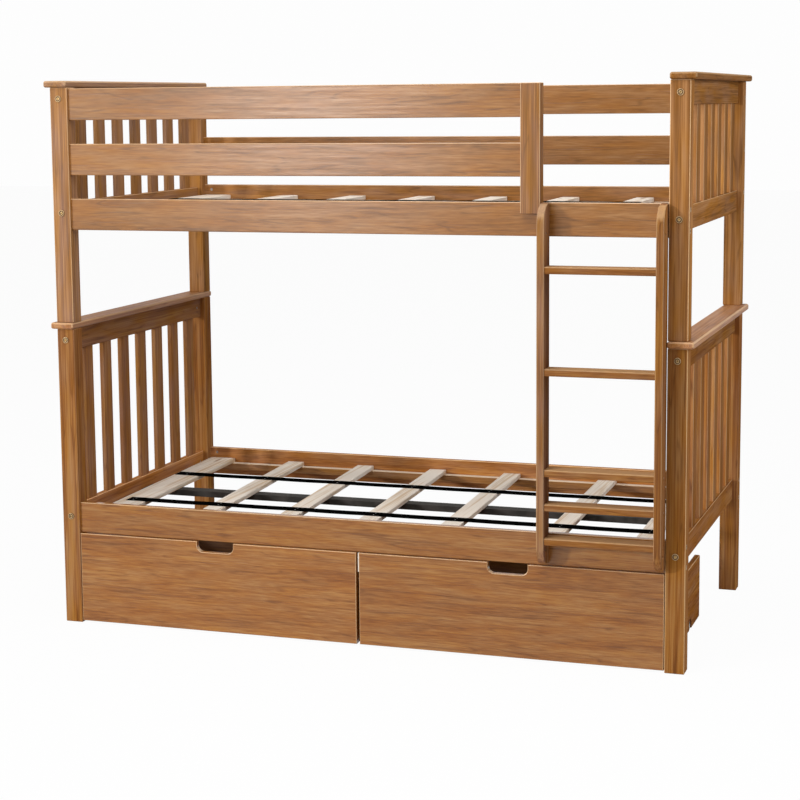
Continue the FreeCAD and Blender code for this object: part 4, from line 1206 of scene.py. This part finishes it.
# How much light each board returns beside the other boards, as the photograph shows it: partly the stain's
# own variation and partly painted light and shade. Lower posts are darker and upper posts paler, as painted
# falloff of the light towards the floor; the right panels' slats are darkened as painted shade; the lower
# back rail and the lower left panel's bottom rail are lightened as painted light.
LOWER_TONES = {
    "front_left_post": 0.93, "front_right_post": 0.88, "front_rail": 0.91, "back_rail": 1.4,
    "left_cap": 1.1, "left_panel_top_rail": 0.9, "left_panel_bottom_rail": 1.55, "left_panel_slats": 1.04,
    "right_cap": 1.05, "right_panel_top_rail": 0.7, "right_panel_bottom_rail": 0.95,
    "right_panel_slats": 0.78,
}
UPPER_TONES = {
    "front_left_post": 1.08, "front_right_post": 1.06, "front_rail": 0.95,
    "left_cap": 0.85, "left_panel_slats": 0.9,
    "right_cap": 0.7, "right_panel_top_rail": 0.82, "right_panel_slats": 0.78,
}
GUARD_TONES = {
    "front_top_guard_rail": 0.88, "front_mid_guard_rail": 0.95,
    "back_top_guard_rail": 0.9, "back_mid_guard_rail": 0.95,
}
LADDER_TONES = {"ladder_left_stile": 0.79, "ladder_right_stile": 0.82, "ladder_rungs": 0.84}
# The drawers' backs are darkened to 0.3 as painted shade inside the drawers.
DRAWER_TONES = {"left": {"front": 1.0, "back": 0.3}, "right": {"front": 0.94, "back": 0.3}}


def main() -> None:
    """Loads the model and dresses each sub-assembly in order."""
    logging.basicConfig(level=logging.INFO, format="%(message)s")
    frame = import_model()
    nodes = frame["nodes"]
    Studio().build()

    wood = StainedWood()
    ruddy = StainedWood(pale="#AA763B", body="#986028", dark="#804A16", line="#6A3B0F")
    plywood = StainedWood("stained_plywood", band=(500 * MM, 90 * MM), streak=(300 * MM, 24 * MM))
    pine = RawPine()
    webbing = Webbing()
    tape = webbing.material()
    zinc = ZINC_PLATE.material()

    Bunk("lower", ruddy, LOWER_TONES, post_gloss=(Gloss.MATT, Gloss.FLAT), post_wear_and_highlight=(0.15, 0.8)).dress(nodes)
    Bunk("upper", wood, UPPER_TONES, post_gloss=(Gloss.DULL_PAINTED_SHEEN, Gloss.MATT), post_wear_and_highlight=(0.5, 0.8),
         cap_gloss=(Gloss.EGGSHELL, Gloss.FLAT), cap_front_painted_light=(1.1, 1.25)).dress(nodes)
    GuardRails(wood, GUARD_TONES).dress(nodes)
    cleat = BoardFinish(Grain.ALONG, top=(wood.raw, 1.0))
    dress(nodes["slat_cleats"], wood.material("slat_cleats", cleat))
    dress(nodes["centre_beams"], POWDER_COAT.material())
    lower = BedBase("lower", slat_top=0.365,
                    slat_centres=(-0.900, -0.593, -0.318, -0.043, 0.234, 0.579, 0.864),
                    slat_turns=(1.3, 2.5, 2.5, 2.1, 1.9, 1.3, 1.3))
    upper = BedBase("upper", slat_top=1.358,
                    slat_centres=(-0.900, -0.606, -0.343, -0.081, 0.186, 0.446, 0.708),
                    slat_turns=(1.0, 2.0, 2.0, 2.0, 2.0, 2.0, 2.0))
    for base in (lower, upper):
        base.build(webbing, tape, zinc)
        base.dress(nodes, pine)
    Ladder(ruddy, LADDER_TONES).dress(nodes)
    wheel = WHEEL_NYLON.material()
    for side, tones in DRAWER_TONES.items():
        Drawer(side, ruddy, plywood, tones).dress(nodes, zinc, wheel)
    # A pale strip in the drawers' gap, as painted light.
    GapLightStrip().build(pine.material("drawer_bumper", Grain.UP))
    dress(nodes["bolts_and_screws"], ANTIQUE_BRASS.material())
    BoltFaces().build(RubbedHighlitBrass())
    dress(nodes["barrel_nuts"], zinc)
    dress(nodes["pins_and_dowels"], zinc)


if __name__ == "__main__":
    main()
